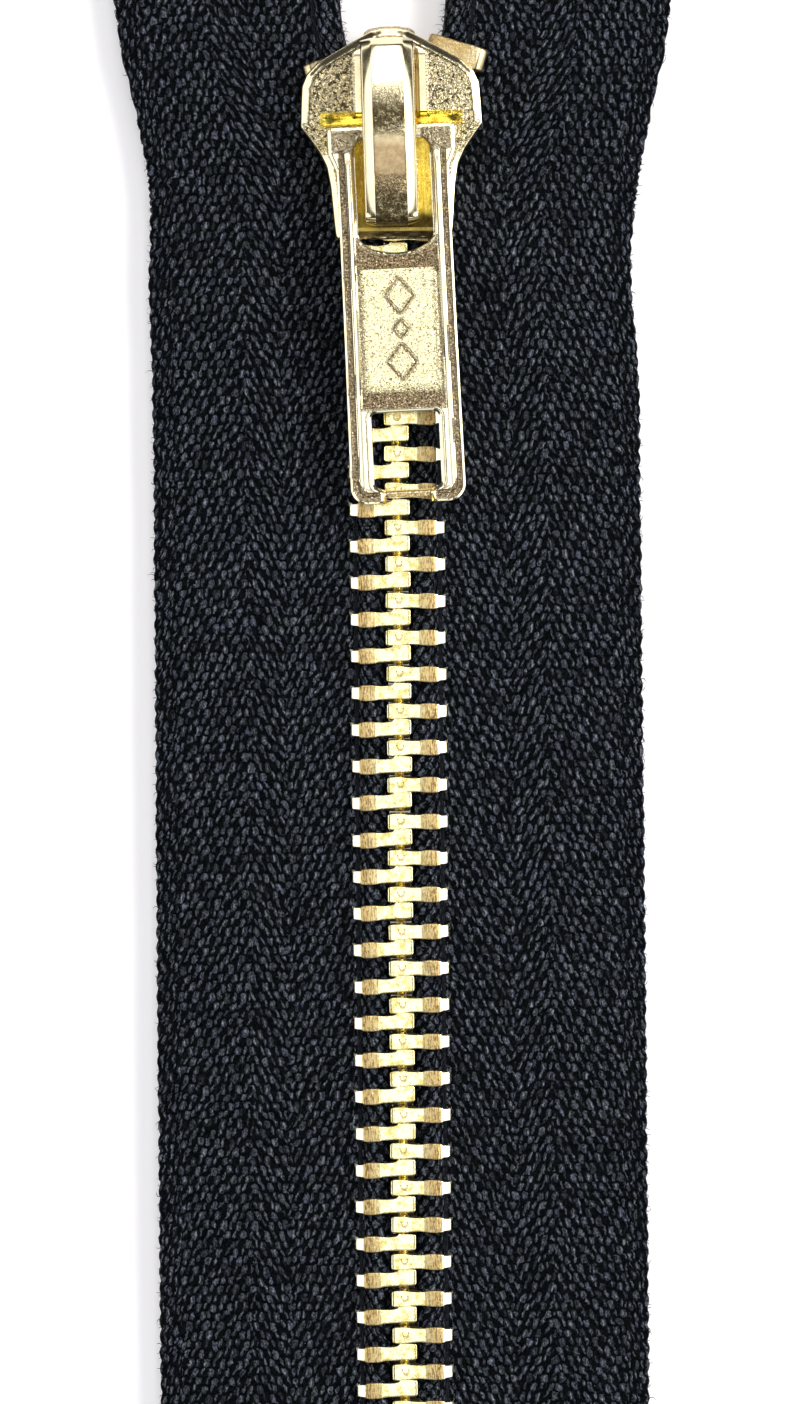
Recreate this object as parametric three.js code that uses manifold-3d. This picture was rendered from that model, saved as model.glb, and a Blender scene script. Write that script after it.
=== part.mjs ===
// Closed-end metal zipper, chain size 5, nominal length 4 in
// (about 102 mm from bottom stop to top stops).
// Millimetres. X runs across the tape, Y up the chain towards the open end, Z out of the front.
// Origin: lower end of the bottom stop, on the chain's centre line, in the tape's middle plane.
// The zipper is closed: the slider stands against the two top stops and the pull tab hangs
// down over the chain.
// Each side is built as the right-hand one; the left is the same mirrored by scale.x = -1.
// Two coordinates follow a side: s, the length along its bead, and u, the distance outwards
// from the bead's centre, square to the bead.
import * as THREE from "three";
import { mergeVertices } from "three/addons/utils/BufferGeometryUtils.js";
import Module from "manifold-3d";

const wasm = await Module();
wasm.setup();

const { degToRad, lerp, mapLinear } = THREE.MathUtils;

// ---------------------------------------------------------------- driving dimensions
const PITCH = 2.4; // tooth to tooth on one side
const BEAD_X = 1.9; // centre of each bead cord, chain closed
const BEND_START = 90.3; // s where the bead starts to bend out, in the slider's throat
const FLEX_LOW = 90.5; // s of the joint between the straight chain and the throat
const FLEX_HIGH = 95.4; // s of the joint between the throat and the top end
const FLEX_GAP = 0.1; // pieces stop this far short of a flex joint
const CHAIN_START = 5; // lower end of the main tape and of the lowest rows
const FIRST_TOOTH = 6; // lowest left tooth; the right side stands half a pitch higher
const SIDES = [
  { word: "left", sign: -1, firstTooth: FIRST_TOOTH, stopAt: 99.95 },
  { word: "right", sign: 1, firstTooth: FIRST_TOOTH + PITCH / 2, stopAt: 100.9 },
];
const WING_Z = 2.3; // half the slider's thickness over its two wings
const OVERCUT = 1; // how far a cutting tool reaches beyond the face it cuts

// ---------------------------------------------------------------- solids
function solid(geometry) {
  const bare = new THREE.BufferGeometry();
  bare.setAttribute("position", geometry.attributes.position);
  bare.setIndex(geometry.index);
  const merged = mergeVertices(bare, 1e-4);
  return new wasm.Manifold(
    new wasm.Mesh({
      numProp: 3,
      vertProperties: merged.attributes.position.array,
      triVerts: new Uint32Array(merged.index.array),
    }),
  );
}

function geometryOf(manifold) {
  const { vertProperties, triVerts } = manifold.getMesh();
  const geometry = new THREE.BufferGeometry();
  geometry.setAttribute("position", new THREE.Float32BufferAttribute(vertProperties, 3));
  geometry.setIndex(new THREE.Uint32BufferAttribute(triVerts, 1));
  geometry.computeVertexNormals();
  return geometry;
}

const join = (...parts) => geometryOf(parts.map(solid).reduce((sum, part) => sum.add(part)));
const cut = (blank, ...tools) =>
  geometryOf(tools.map(solid).reduce((rest, tool) => rest.subtract(tool), solid(blank)));

// ---------------------------------------------------------------- outlines and extrusions
const vectors = (points) => points.map(([x, y]) => new THREE.Vector2(x, y));

function extrude(points, depth, holes = []) {
  const shape = new THREE.Shape(vectors(points));
  shape.holes = holes.map((hole) => new THREE.Path(vectors(hole)));
  return new THREE.ExtrudeGeometry(shape, { depth, bevelEnabled: false });
}

// An outline in X and Y, standing from z0 to z1.
const plan = (points, z0, z1, holes) => extrude(points, z1 - z0, holes).translate(0, 0, z0);

// A cross-section in X and Z, running along Y from y0 to y1.
const section = (points, y0, y1) =>
  extrude(points, y1 - y0).rotateX(Math.PI / 2).translate(0, y1, 0);

// A side profile in Y and Z, running across X from x0 to x1.
const profile = (points, x0, x1) =>
  extrude(points, x1 - x0).rotateY(Math.PI / 2).rotateX(Math.PI / 2).translate(x0, 0, 0);

const rectangle = (x0, y0, x1, y1) => [[x0, y0], [x1, y0], [x1, y1], [x0, y1]];

// Half an outline, closed by its mirror image across the first or the second axis.
const mirrorFirst = (half) => [...half, ...[...half].reverse().map(([a, b]) => [-a, b])];
const mirrorSecond = (half) => [...half, ...[...half].reverse().map(([a, b]) => [a, -b])];

// ---------------------------------------------------------------- materials and meshes
const metal = (color, roughness) =>
  new THREE.MeshStandardMaterial({ color, roughness, metalness: 1 });
const brass = () => metal(0xd9b65a, 0.3);
const gilt = () => metal(0xe0c478, 0.2);
const cloth = () =>
  new THREE.MeshStandardMaterial({ color: 0x15171b, roughness: 0.9, metalness: 0 });

function mesh(name, geometry, material) {
  const piece = new THREE.Mesh(geometry, material);
  piece.name = name;
  return piece;
}

// ---------------------------------------------------------------- bead line
// Straight up to the slider, bent out through its throat, eased back above the top stops.
const SPLAY = 16.5; // degrees each bead leans out at the top stops
const RELAX_START = 100.9; // s above which the tape relaxes
// s, and the bead's outward lean there in degrees; linear in between
const LEANS = [
  [BEND_START, 0],
  [97.6, SPLAY],
  [RELAX_START, SPLAY],
  [RELAX_START + 2.7, 4],
  [RELAX_START + 9, 6.5],
];

function leanAt(s) {
  const next = LEANS.findIndex(([end]) => s <= end);
  if (next === 0) return 0;
  if (next < 0) return degToRad(LEANS.at(-1)[1]);
  const [s0, lean0] = LEANS[next - 1];
  const [s1, lean1] = LEANS[next];
  return degToRad(mapLinear(s, s0, s1, lean0, lean1));
}

const BEAD_STEP = 0.05; // spacing of the points summed along the bent bead
const BEAD_LIMIT = 126; // s where the summing ends, past the tape's top
const beadLine = [{ x: BEAD_X, y: BEND_START }];
for (let s = BEND_START; s < BEAD_LIMIT; s += BEAD_STEP) {
  const { x, y } = beadLine.at(-1);
  const lean = leanAt(s + BEAD_STEP / 2);
  beadLine.push({ x: x + BEAD_STEP * Math.sin(lean), y: y + BEAD_STEP * Math.cos(lean) });
}

function beadAt(s) {
  if (s <= BEND_START) return { x: BEAD_X, y: s, lean: 0 };
  const steps = (s - BEND_START) / BEAD_STEP;
  const i = Math.floor(steps);
  const below = beadLine[i];
  const above = beadLine[i + 1];
  return {
    x: lerp(below.x, above.x, steps - i),
    y: lerp(below.y, above.y, steps - i),
    lean: leanAt(s),
  };
}

function acrossAt(s, u) {
  const { x, y, lean } = beadAt(s);
  return [x + u * Math.cos(lean), y - u * Math.sin(lean)];
}

// Stands a piece on the bead, square to it.
function placeOnBead(piece, s) {
  const { x, y, lean } = beadAt(s);
  piece.position.set(x, y, 0);
  piece.rotation.z = -lean;
  return piece;
}

// ---------------------------------------------------------------- bead cord
const CORD_R = 0.62;
const CORE_R = 0.75; // the cord swollen inside a crimped row of teeth
const CORD_SIDES = 8;
const CORD_STEP = 2; // nominal length of one step along a bent cord

function cord(from, to, radius) {
  const straight = to <= BEND_START;
  const steps = straight ? 1 : Math.round((to - from) / CORD_STEP);
  const beadPoint = (s) => {
    const { x, y } = beadAt(s);
    return new THREE.Vector3(x, y, 0);
  };
  const bentPoints = () =>
    Array.from({ length: 2 * steps + 1 }, (_, i) =>
      beadPoint(from + ((to - from) * i) / (2 * steps)),
    );
  const extrudePath = straight
    ? new THREE.LineCurve3(beadPoint(from), beadPoint(to))
    : new THREE.CatmullRomCurve3(bentPoints());
  const ring = Array.from({ length: CORD_SIDES }, (_, i) => {
    const angle = ((i + 0.5) * 2 * Math.PI) / CORD_SIDES;
    return [radius * Math.cos(angle), radius * Math.sin(angle)];
  });
  const shape = new THREE.Shape(vectors(ring));
  return new THREE.ExtrudeGeometry(shape, { extrudePath, steps, bevelEnabled: false });
}

// ---------------------------------------------------------------- teeth
const TOOTH_HALF_Y = 1.05 / 2; // half a tooth's thickness along the chain
const TOOTH_Z = 1.2; // half a tooth's height
const HEAD_U = -2.72; // tip of the head, past the chain's centre line
const LEG_U = 1.22; // ends of the legs
const LEG_Z = 0.45; // half the gap between the legs

// The back half (Z below 0) of a tooth's section, u and z; both teeth share it.
const TOOTH_OUTSIDE = [
  [HEAD_U, -0.8], [HEAD_U + 0.3, -TOOTH_Z], [0.8, -TOOTH_Z], [LEG_U, -0.9], [LEG_U, -LEG_Z],
];
// The back half of the opening that holds the bead cord, u and z, from the legs inwards.
const CORD_OPENING = [[0.86, -LEG_Z], [0.62, -0.84], [-0.62, -0.84], [-0.95, -LEG_Z]];

const NIB = { bottom: [0.2, 0.28], top: [0.36, 0.46], height: 0.34, root: 0.05 };
const SOCKET = { opening: [0.66, 0.74], depth: 0.36, overcut: 0.2 };

// A four-sided block on the chain's centre line; bottom and top are half sizes in X and Z.
function taperedBlock(bottom, top, y0, y1) {
  const block = new THREE.CylinderGeometry(1, 1, y1 - y0, 4, 1).rotateY(Math.PI / 4);
  const points = block.attributes.position;
  const signOf = (value) => Math.sign(Math.round(value * 100)); // 0 at the caps' centres
  for (let i = 0; i < points.count; i++) {
    const [halfX, halfZ] = points.getY(i) > 0 ? top : bottom;
    points.setX(i, signOf(points.getX(i)) * halfX);
    points.setZ(i, signOf(points.getZ(i)) * halfZ);
  }
  return block.translate(-BEAD_X, (y0 + y1) / 2, 0);
}

// A tooth with a nib on its upper face and a socket in its lower face.
function tooth(legGap) {
  const top = TOOTH_HALF_Y;
  const bottom = -TOOTH_HALF_Y;
  const blank = section(mirrorSecond([...TOOTH_OUTSIDE, ...legGap]), bottom, top);
  const nib = taperedBlock(NIB.bottom, NIB.top, top - NIB.root, top + NIB.height);
  const { opening, depth, overcut } = SOCKET;
  const socket = taperedBlock(opening, opening, bottom - overcut, bottom + depth);
  return geometryOf(solid(blank).subtract(solid(socket)).add(solid(nib)));
}
const crimpedTooth = tooth([[0.72, -LEG_Z]]);
const looseTooth = tooth(CORD_OPENING);

// Places of a side's teeth between two lengths along the bead.
function toothStations(firstTooth, from, to) {
  const stations = [];
  for (let s = firstTooth; s < to; s += PITCH) if (s >= from) stations.push(s);
  return stations;
}

const ROW_TEETH = 6;
const ROW_GAP = 0.06; // a row's cord stops this far short of the middle between two teeth

// Crimped rows: the cord locks each row's teeth to one another.
function crimpedRows({ word, firstTooth }) {
  const stations = toothStations(firstTooth, firstTooth, FLEX_LOW);
  const reach = PITCH / 2 - ROW_GAP;
  const rows = [];
  for (let i = 0; i < stations.length; i += ROW_TEETH) {
    const row = stations.slice(i, i + ROW_TEETH);
    const isLast = i + ROW_TEETH >= stations.length;
    const from = i === 0 ? CHAIN_START : row[0] - reach;
    const to = isLast ? FLEX_LOW - FLEX_GAP : row.at(-1) + reach;
    const teeth = row.map((y) => crimpedTooth.clone().translate(BEAD_X, y, 0));
    const number = String(rows.length + 1).padStart(2, "0");
    rows.push(mesh(`${word}_teeth_${number}`, join(cord(from, to, CORE_R), ...teeth), brass()));
  }
  return rows;
}

const looseTeeth = (name, stations) =>
  stations.map((s, i) => placeOnBead(mesh(`${name}_${i + 1}`, looseTooth, brass()), s));

// ---------------------------------------------------------------- tape
const TAPE_WIDTH = 32; // both tapes, chain closed
const TAPE_OUT = TAPE_WIDTH / 2 - BEAD_X; // u of the outer edge
const TAPE_IN = 0.9; // u of the inner edge
const TAPE_Z = 0.3; // half the tape's thickness
const MARGIN_U = 1.42; // outer side of the thin margin between the teeth's legs
const MARGIN_Z = 0.24; // half the margin's thickness
const TAPE_STEP = 1.6; // longest step along a bent strip

// Ends of the tape's stretches, along the bead.
const TAPE_BOTTOM = -22;
const TAIL_TOP = 4.85;
const MAIN_TOP = 88;
const THROAT_BOTTOM = 88.3;
const TAPE_TOP = 123.5;

function tapeStrip(from, to, inner, outer, halfZ) {
  const steps = to <= BEND_START ? 1 : Math.ceil((to - from) / TAPE_STEP);
  const edge = (u) =>
    Array.from({ length: steps + 1 }, (_, i) => acrossAt(from + ((to - from) * i) / steps, u));
  return plan([...edge(outer), ...edge(inner).reverse()], -halfZ, halfZ);
}

// The flat body and the thinner inner margin, overlapping by 0.2.
const tapeParts = (from, to) => [
  tapeStrip(from, to, MARGIN_U, TAPE_OUT, TAPE_Z),
  tapeStrip(from, to, TAPE_IN, MARGIN_U + 0.2, MARGIN_Z),
];

// Where no row of teeth is crimped on it, the bead cord is woven into the tape.
const beadedTape = (from, to, beadFrom = from) =>
  join(
    ...tapeParts(from, to),
    tapeStrip(beadFrom, to, 0.3, TAPE_IN + 0.1, MARGIN_Z),
    cord(beadFrom, to, CORD_R),
  );

// ---------------------------------------------------------------- stops
const TOP_STOP_HALF_Y = 0.8;
const BOTTOM_STOP_Y = 4.6;

// A U clamp round the bead and the tape.
function topStop() {
  const backHalf = [
    [-1.75, -0.9], [-1.35, -1.25], [1.8, -1.25], [2.2, -0.95], [2.2, -LEG_Z], ...CORD_OPENING,
  ];
  return section(mirrorSecond(backHalf), -TOP_STOP_HALF_Y, TOP_STOP_HALF_Y);
}

// One clamp across both beads.
function bottomStop() {
  const backQuarter = [
    [0.4, -1.42], [2.9, -1.42], [3.3, -1.05], [3.3, -LEG_Z],
    ...CORD_OPENING.map(([u, z]) => [BEAD_X + u, z]),
  ];
  return section(mirrorFirst(mirrorSecond(backQuarter)), 0, BOTTOM_STOP_Y);
}

// ---------------------------------------------------------------- slider body
const CHANNEL_Z = 1.4; // half the channel's height between the wings
const SLOT_Z = 0.46; // half the gap between the flanges, for the tape
const PANEL_DEPTH = 0.18;

// Right halves of outlines, x and y.
const WING = [
  [3.78, 88.4], [3.88, 89.3], [3.98, 90.6], [4.08, 91.9], [4.3, 93.2], [4.75, 94.15],
  [5.45, 95.15], [5.94, 95.8], [5.88, 97.2], [5.79, 98.5], [5.44, 99.3], [4.7, 100.05],
  [3.4, 100.8], [1.95, 101.6], [1.2, 102.0], [0.5, 102.15],
];
const CHANNEL = [
  [3.32, 87], [3.32, 90.4], [3.55, 92.4], [4.1, 94.4], [4.8, 96.4], [5.1, 97.4],
  [5.5, 98.1], [8.5, 98.3], [8.5, 104],
];
const DIAMOND = [[0.02, 98.9], [0.6, 99.7], [1.25, 100.7], [1.35, 101.4]];
const DIAMOND_TOP_X = 1.3;
// Whole outline of the right-hand panel, x and y.
const PANEL = [[2.25, 96.3], [4.9, 96.3], [5.15, 97.2], [5.0, 98.6], [4.4, 99.2], [2.25, 100.3]];

function sliderBody() {
  const block = plan(mirrorFirst(WING), -WING_Z, WING_Z);
  // the cutting tools leave the diamond standing, and end just above it
  const diamond = (top) => mirrorFirst([...DIAMOND, [DIAMOND_TOP_X, top]]);
  // the Y-shaped channel for the two rows of teeth, either side of the diamond
  const channel = plan(mirrorFirst(CHANNEL), -CHANNEL_Z, CHANNEL_Z, [diamond(103.9)]);
  const slot = plan(rectangle(-8, 87.5, 8, 104.2), -SLOT_Z, SLOT_Z, [diamond(104.1)]);
  // shallow panels in the front wing on each side of the bridge
  const panels = [1, -1].map((side) => {
    const outline = PANEL.map(([x, y]) => [side * x, y]);
    return plan(outline, WING_Z - PANEL_DEPTH, WING_Z + OVERCUT);
  });
  // the hole for the lock leaf's prong, through the front wing
  const hole = plan(rectangle(0.92, 89.7, 1.65, 90.75), 1, WING_Z + OVERCUT);
  return cut(block, channel, slot, ...panels, hole);
}

// ---------------------------------------------------------------- bridge cap
const BRIDGE_HALF_X = 1.7;
const FOOT_Z = WING_Z + 0.03; // the cap's ends stand on the front wing

// Side profile of the arch, y and z: its outer line up the chain, its inner line back down.
const ARCH_OUTSIDE = [
  [89.2, FOOT_Z], [89.22, 4.3], [89.42, 4.85], [89.9, 5.22], [91.4, 5.56], [93.3, 5.78],
  [95.2, 5.85], [97.1, 5.8], [98.9, 5.62], [100.3, 5.25], [101.0, 4.75], [101.32, 4.1],
  [101.4, FOOT_Z],
];
const ARCH_INSIDE = [
  [100.5, FOOT_Z], [100.45, 4.1], [100.0, 4.7], [98.9, 5.0], [97.1, 5.14], [95.2, 5.16],
  [93.3, 5.12], [91.4, 5.02], [90.0, 4.95], [89.85, 4.8], [89.85, FOOT_Z],
];
// Section of the wedge that bevels the arch's right edge: x, and height off the outer line.
const BEVEL = [
  [BRIDGE_HALF_X - 0.65, 0.01],
  [BRIDGE_HALF_X + 0.5, -0.6],
  [BRIDGE_HALF_X + 0.5, 0.9],
  [BRIDGE_HALF_X - 0.65, 0.9],
];

// The bevel's section carried along the arch's outer line, square to it.
function bevelWedge() {
  const path = ARCH_OUTSIDE.slice(1, -1);
  const last = path.length - 1;
  const positions = path.flatMap(([y, z], i) => {
    const [yBefore, zBefore] = path[Math.max(0, i - 1)];
    const [yAfter, zAfter] = path[Math.min(last, i + 1)];
    const length = Math.hypot(yAfter - yBefore, zAfter - zBefore);
    const normalY = -(zAfter - zBefore) / length;
    const normalZ = (yAfter - yBefore) / length;
    return BEVEL.flatMap(([x, height]) => [x, y + normalY * height, z + normalZ * height]);
  });
  const index = [];
  for (let i = 0; i < last; i++) {
    for (let corner = 0; corner < 4; corner++) {
      const a = 4 * i + corner;
      const b = 4 * i + ((corner + 1) % 4);
      index.push(a, b + 4, b, a, a + 4, b + 4);
    }
  }
  const end = 4 * last;
  index.push(0, 1, 2, 0, 2, 3);
  index.push(end, end + 2, end + 1, end, end + 3, end + 2);
  const wedge = new THREE.BufferGeometry();
  wedge.setAttribute("position", new THREE.Float32BufferAttribute(positions, 3));
  wedge.setIndex(index);
  return wedge;
}

// The arch that holds the tab and covers the lock leaf, bevelled along both edges.
function bridgeCap() {
  const arch = solid(profile([...ARCH_OUTSIDE, ...ARCH_INSIDE], -BRIDGE_HALF_X, BRIDGE_HALF_X));
  const wedge = solid(bevelWedge());
  return geometryOf(arch.subtract(wedge).subtract(wedge.mirror([1, 0, 0])));
}

// ---------------------------------------------------------------- lock leaf
// A spring strip under the cap, with a prong that drops between two right-hand teeth.
function lockLeaf() {
  const strip = profile(rectangle(90.0, 4.2, 99.6, 4.38), -1.1, 1.5);
  const prong = plan(rectangle(1.06, 90.0, 1.5, 90.55), 0.86, 4.3);
  return join(strip, prong);
}

// ---------------------------------------------------------------- pull tab
// Local frame: the crossbar's axis is X through the origin, the tab hangs towards -Y.
const TAB_HALF_Z = 1.4 / 2;
const TAB_END = { halfX: 3.76, y: -24.05, cornerR: 1, steps: 4 };
const TAB_RECESS = 0.22; // depth of the recess in each face
const OPENING = { halfX: 2.58, arcY: -6.3, arcDepth: 1.1, steps: 8 };
// Right edge of the tab above its lower corner, x and y.
const TAB_EDGE = [[3.68, -14], [3.65, -7], [3.66, -2.4], [4.13, -1.15], [4.13, 0.3], [3.95, 0.5]];
// Window near the lower end, x and y.
const TAB_WINDOW = [
  [-2.3, -22.5], [-1.95, -22.95], [1.95, -22.95], [2.3, -22.5],
  [2.3, -18.5], [1.95, -18.1], [-1.95, -18.1], [-2.3, -18.5],
];

function tabOutline() {
  const { halfX, y, cornerR, steps } = TAB_END;
  const corner = Array.from({ length: steps + 1 }, (_, i) => {
    const angle = ((i / steps) * Math.PI) / 2;
    return [
      halfX - cornerR + cornerR * Math.sin(angle),
      y + cornerR - cornerR * Math.cos(angle),
    ];
  });
  return mirrorFirst([...corner, ...TAB_EDGE]);
}

// The opening under the crossbar, rounded at its lower end.
function tabOpening() {
  const { halfX, arcY, arcDepth, steps } = OPENING;
  const arc = Array.from({ length: steps + 1 }, (_, i) => {
    const angle = Math.PI + (i / steps) * Math.PI;
    return [halfX * Math.cos(angle), arcY + arcDepth * Math.sin(angle)];
  });
  return [...arc, ...mirrorFirst([[halfX, -0.9], [2.1, -0.42]])];
}

function pullTab() {
  const plate = plan(tabOutline(), -TAB_HALF_Z, TAB_HALF_Z, [tabOpening(), TAB_WINDOW]);
  const floor = TAB_HALF_Z - TAB_RECESS;
  const recess = rectangle(-2.6, -17.6, 2.6, -8.3);
  const notch = plan(rectangle(-1.4, -25, 1.4, -23.8), -2, 2);
  return cut(
    plate,
    plan(recess, floor, TAB_HALF_Z + OVERCUT),
    plan(recess, -TAB_HALF_Z - OVERCUT, -floor),
    notch,
  );
}

// ---------------------------------------------------------------- assembly
const SLIDER_X = -0.15; // the slider has a little play and sits left of the centre line
const BRIDGE_X = -0.2; // the cap's centre line on the slider
const PIVOT = { x: -0.04, y: 95.2, z: 3.3 }; // the tab's crossbar on the slider
const TAB_TILT = 2.3; // degrees: the tab's lower end swings to the right
const TAB_DROOP = 1.8; // degrees: the tab's lower end dips towards the chain

function group(...children) {
  const result = new THREE.Group();
  for (const child of children) result.add(child);
  return result;
}

// The bottom stop and the loose tape ends below it.
function base() {
  const tails = SIDES.map(({ word, sign }) => {
    const tail = mesh(`${word}_tape_tail`, beadedTape(TAPE_BOTTOM, TAIL_TOP), cloth());
    tail.scale.x = sign;
    return tail;
  });
  return group(mesh("bottom_stop", bottomStop(), brass()), ...tails);
}

// The side's stretch inside the slider.
function throat({ word, firstTooth }) {
  const tape = beadedTape(THROAT_BOTTOM, FLEX_HIGH - FLEX_GAP, FLEX_LOW + FLEX_GAP);
  return group(
    mesh(`${word}_tape_throat`, tape, cloth()),
    ...looseTeeth(`${word}_throat_tooth`, toothStations(firstTooth, FLEX_LOW, FLEX_HIGH)),
  );
}

// The side's top end, with the top stop and the loose end of the tape.
function topEnd({ word, firstTooth, stopAt }) {
  const stations = toothStations(firstTooth, FLEX_HIGH, stopAt - TOP_STOP_HALF_Y);
  return group(
    mesh(`${word}_tape_end`, beadedTape(FLEX_HIGH + FLEX_GAP, TAPE_TOP), cloth()),
    ...looseTeeth(`${word}_top_tooth`, stations),
    placeOnBead(mesh(`${word}_top_stop`, topStop(), brass()), stopAt),
  );
}

function zipperSide(side) {
  const half = group(
    mesh(`${side.word}_tape_main`, join(...tapeParts(CHAIN_START, MAIN_TOP)), cloth()),
    ...crimpedRows(side),
    throat(side),
    topEnd(side),
  );
  half.scale.x = side.sign;
  return half;
}

function slider() {
  const cap = mesh("bridge_cap", bridgeCap(), gilt());
  cap.position.x = BRIDGE_X;
  const tab = mesh("pull_tab", pullTab(), gilt());
  tab.position.copy(PIVOT);
  tab.rotation.set(degToRad(TAB_DROOP), 0, degToRad(TAB_TILT), "ZYX");
  const whole = group(
    mesh("slider_body", sliderBody(), gilt()),
    cap,
    mesh("lock_leaf", lockLeaf(), gilt()),
    tab,
  );
  whole.position.x = SLIDER_X;
  return whole;
}

export default group(base(), ...SIDES.map(zipperSide), slider());
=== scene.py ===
import bmesh, bpy, math
import numpy as np
from types import SimpleNamespace
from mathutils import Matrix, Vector
from mathutils.geometry import delaunay_2d_cdt, tessellate_polygon


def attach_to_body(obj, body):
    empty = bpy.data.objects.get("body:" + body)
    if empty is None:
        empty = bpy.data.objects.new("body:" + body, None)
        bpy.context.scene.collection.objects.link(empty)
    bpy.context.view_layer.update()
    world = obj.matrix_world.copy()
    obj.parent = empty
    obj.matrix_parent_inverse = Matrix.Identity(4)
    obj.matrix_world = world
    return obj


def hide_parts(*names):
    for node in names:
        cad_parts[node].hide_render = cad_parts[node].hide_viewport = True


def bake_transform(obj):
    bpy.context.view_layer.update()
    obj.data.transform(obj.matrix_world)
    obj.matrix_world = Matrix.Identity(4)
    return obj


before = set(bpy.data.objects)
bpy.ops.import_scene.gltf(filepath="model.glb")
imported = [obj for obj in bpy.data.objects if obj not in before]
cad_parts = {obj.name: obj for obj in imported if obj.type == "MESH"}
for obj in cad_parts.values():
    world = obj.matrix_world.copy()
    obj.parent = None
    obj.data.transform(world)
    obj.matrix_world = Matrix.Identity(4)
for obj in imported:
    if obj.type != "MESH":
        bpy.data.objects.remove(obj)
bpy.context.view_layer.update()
RAD = math.pi / 180
SIGN = {"left": -1, "right": 1}
rng = np.random.default_rng(7)

# ------------------------------------------------------------------ the bead line
BEAD_X, BEND_START, BEND_END = 1.9, 90.3, 97.6
SPLAY, RELAX_LEAN, REST_LEAN = 16.5, 4.0, 6.5  # degrees
SPLAY_END = 100.9
LEAN_STATIONS = [BEND_START, BEND_END, SPLAY_END, SPLAY_END + 2.7, SPLAY_END + 9]
LEANS = [0, SPLAY, SPLAY, RELAX_LEAN, REST_LEAN]
BEAD_STEP = 0.05


def lean(along):
    """How far the right-hand bead leans outwards, in degrees."""
    return np.interp(np.asarray(along, float), LEAN_STATIONS, LEANS)


BENT_ALONG = np.arange(BEND_START, 127.0, BEAD_STEP)
BENT_LEAN = lean(BENT_ALONG[:-1] + BEAD_STEP / 2) * RAD
BENT_X = np.concatenate([[BEAD_X], BEAD_X + np.cumsum(BEAD_STEP * np.sin(BENT_LEAN))])
BENT_Y = np.concatenate([[BEND_START], BEND_START + np.cumsum(BEAD_STEP * np.cos(BENT_LEAN))])


def bead(along):
    """x, y and lean (radians) of the right-hand bead at a length along it."""
    along = np.asarray(along, float)
    straight = along <= BEND_START
    x = np.where(straight, BEAD_X, np.interp(along, BENT_ALONG, BENT_X))
    y = np.where(straight, along, np.interp(along, BENT_ALONG, BENT_Y))
    return x, y, lean(along) * RAD


def on_bead(points, side, along, turn=0.0, out=0.0, up=0.0):
    """Sets points (out from the bead, up the chain, out of the face) on one side's bead."""
    bead_x, bead_y, angle = (float(q) for q in bead(along))
    cos, sin = math.cos(-angle + turn), math.sin(-angle + turn)
    x, y = points[:, 0] + out, points[:, 1] + up
    return np.stack(
        [SIGN[side] * (bead_x + x * cos - y * sin), bead_y + x * sin + y * cos, points[:, 2]], -1
    )


# ------------------------------------------------------------------ mesh helpers
class Piece:
    """Gathers points, faces and the two attributes of one object."""

    def __init__(self):
        self.points, self.faces, self.loc, self.rnd = [], [], [], []
        self.count = 0

    def add(self, points, faces, loc=(0, 0, 0), rnd=(0, 0, 0)):
        points = np.asarray(points, float).reshape(-1, 3)
        self.points.append(points)
        self.loc.append(np.broadcast_to(np.asarray(loc, float), points.shape))
        self.rnd.append(np.broadcast_to(np.asarray(rnd, float), points.shape))
        self.faces += [[i + self.count for i in face] for face in faces]
        self.count += len(points)

    def move(self, place):
        self.points = [place(np.vstack(self.points))]

    def build(self, name):
        mesh = bpy.data.meshes.new(name)
        mesh.from_pydata((np.vstack(self.points) * 0.001).tolist(), [], self.faces)
        mesh.validate()
        mesh.polygons.foreach_set("use_smooth", np.full(len(mesh.polygons), True))
        mesh.update()
        for key, values in (("loc", self.loc), ("rnd", self.rnd)):
            data = mesh.attributes.new(key, "FLOAT_VECTOR", "POINT").data
            data.foreach_set("vector", np.vstack(values).astype(np.float32).ravel())
        return link(name, mesh)


def link(name, data):
    obj = bpy.data.objects.new(name, data)
    bpy.context.scene.collection.objects.link(obj)
    return obj


def edit(obj, *operations):
    """Runs bmesh operations on the object's mesh."""
    mesh = bmesh.new()
    mesh.from_mesh(obj.data)
    for operation in operations:
        operation(mesh)
    mesh.to_mesh(obj.data)
    mesh.free()
    obj.data.update()


def fill_holes(mesh):
    open_edges = [edge for edge in mesh.edges if edge.is_boundary]
    bmesh.ops.holes_fill(mesh, edges=open_edges, sides=0)


def face_outwards(mesh):
    bmesh.ops.recalc_face_normals(mesh, faces=mesh.faces)


def weld(mesh):
    bmesh.ops.remove_doubles(mesh, verts=mesh.verts, dist=1e-6)


def shade(obj, sharp):
    """Smooth shading, broken at edges sharper than the angle in degrees."""
    obj.data.polygons.foreach_set("use_smooth", np.full(len(obj.data.polygons), True))
    obj.data.set_sharp_from_angle(angle=sharp * RAD)


def finish_casting(obj, sharp):
    """Welds the pieces of one casting, so that they shade as one."""
    edit(obj, weld)
    shade(obj, sharp)
    modifier = obj.modifiers.new("weighted", "WEIGHTED_NORMAL")
    modifier.keep_sharp = True
    modifier.weight = 80


def attach(obj, material, body, replaced):
    obj.data.materials.append(material)
    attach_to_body(obj, body)
    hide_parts(replaced)


def facing(faces, keep):
    return faces if keep else [face[::-1] for face in faces]


def tube_faces(rings, size):
    """Quads joining each ring of points to the next."""
    faces = []
    for i in range(rings - 1):
        low, high = i * size, (i + 1) * size
        for j in range(size):
            following = (j + 1) % size
            faces.append([low + j, low + following, high + following, high + j])
    return faces


def end_faces(rings, size):
    """The polygons that close a tube, the first one reversed."""
    return [list(range(size))[::-1], [(rings - 1) * size + j for j in range(size)]]


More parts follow.
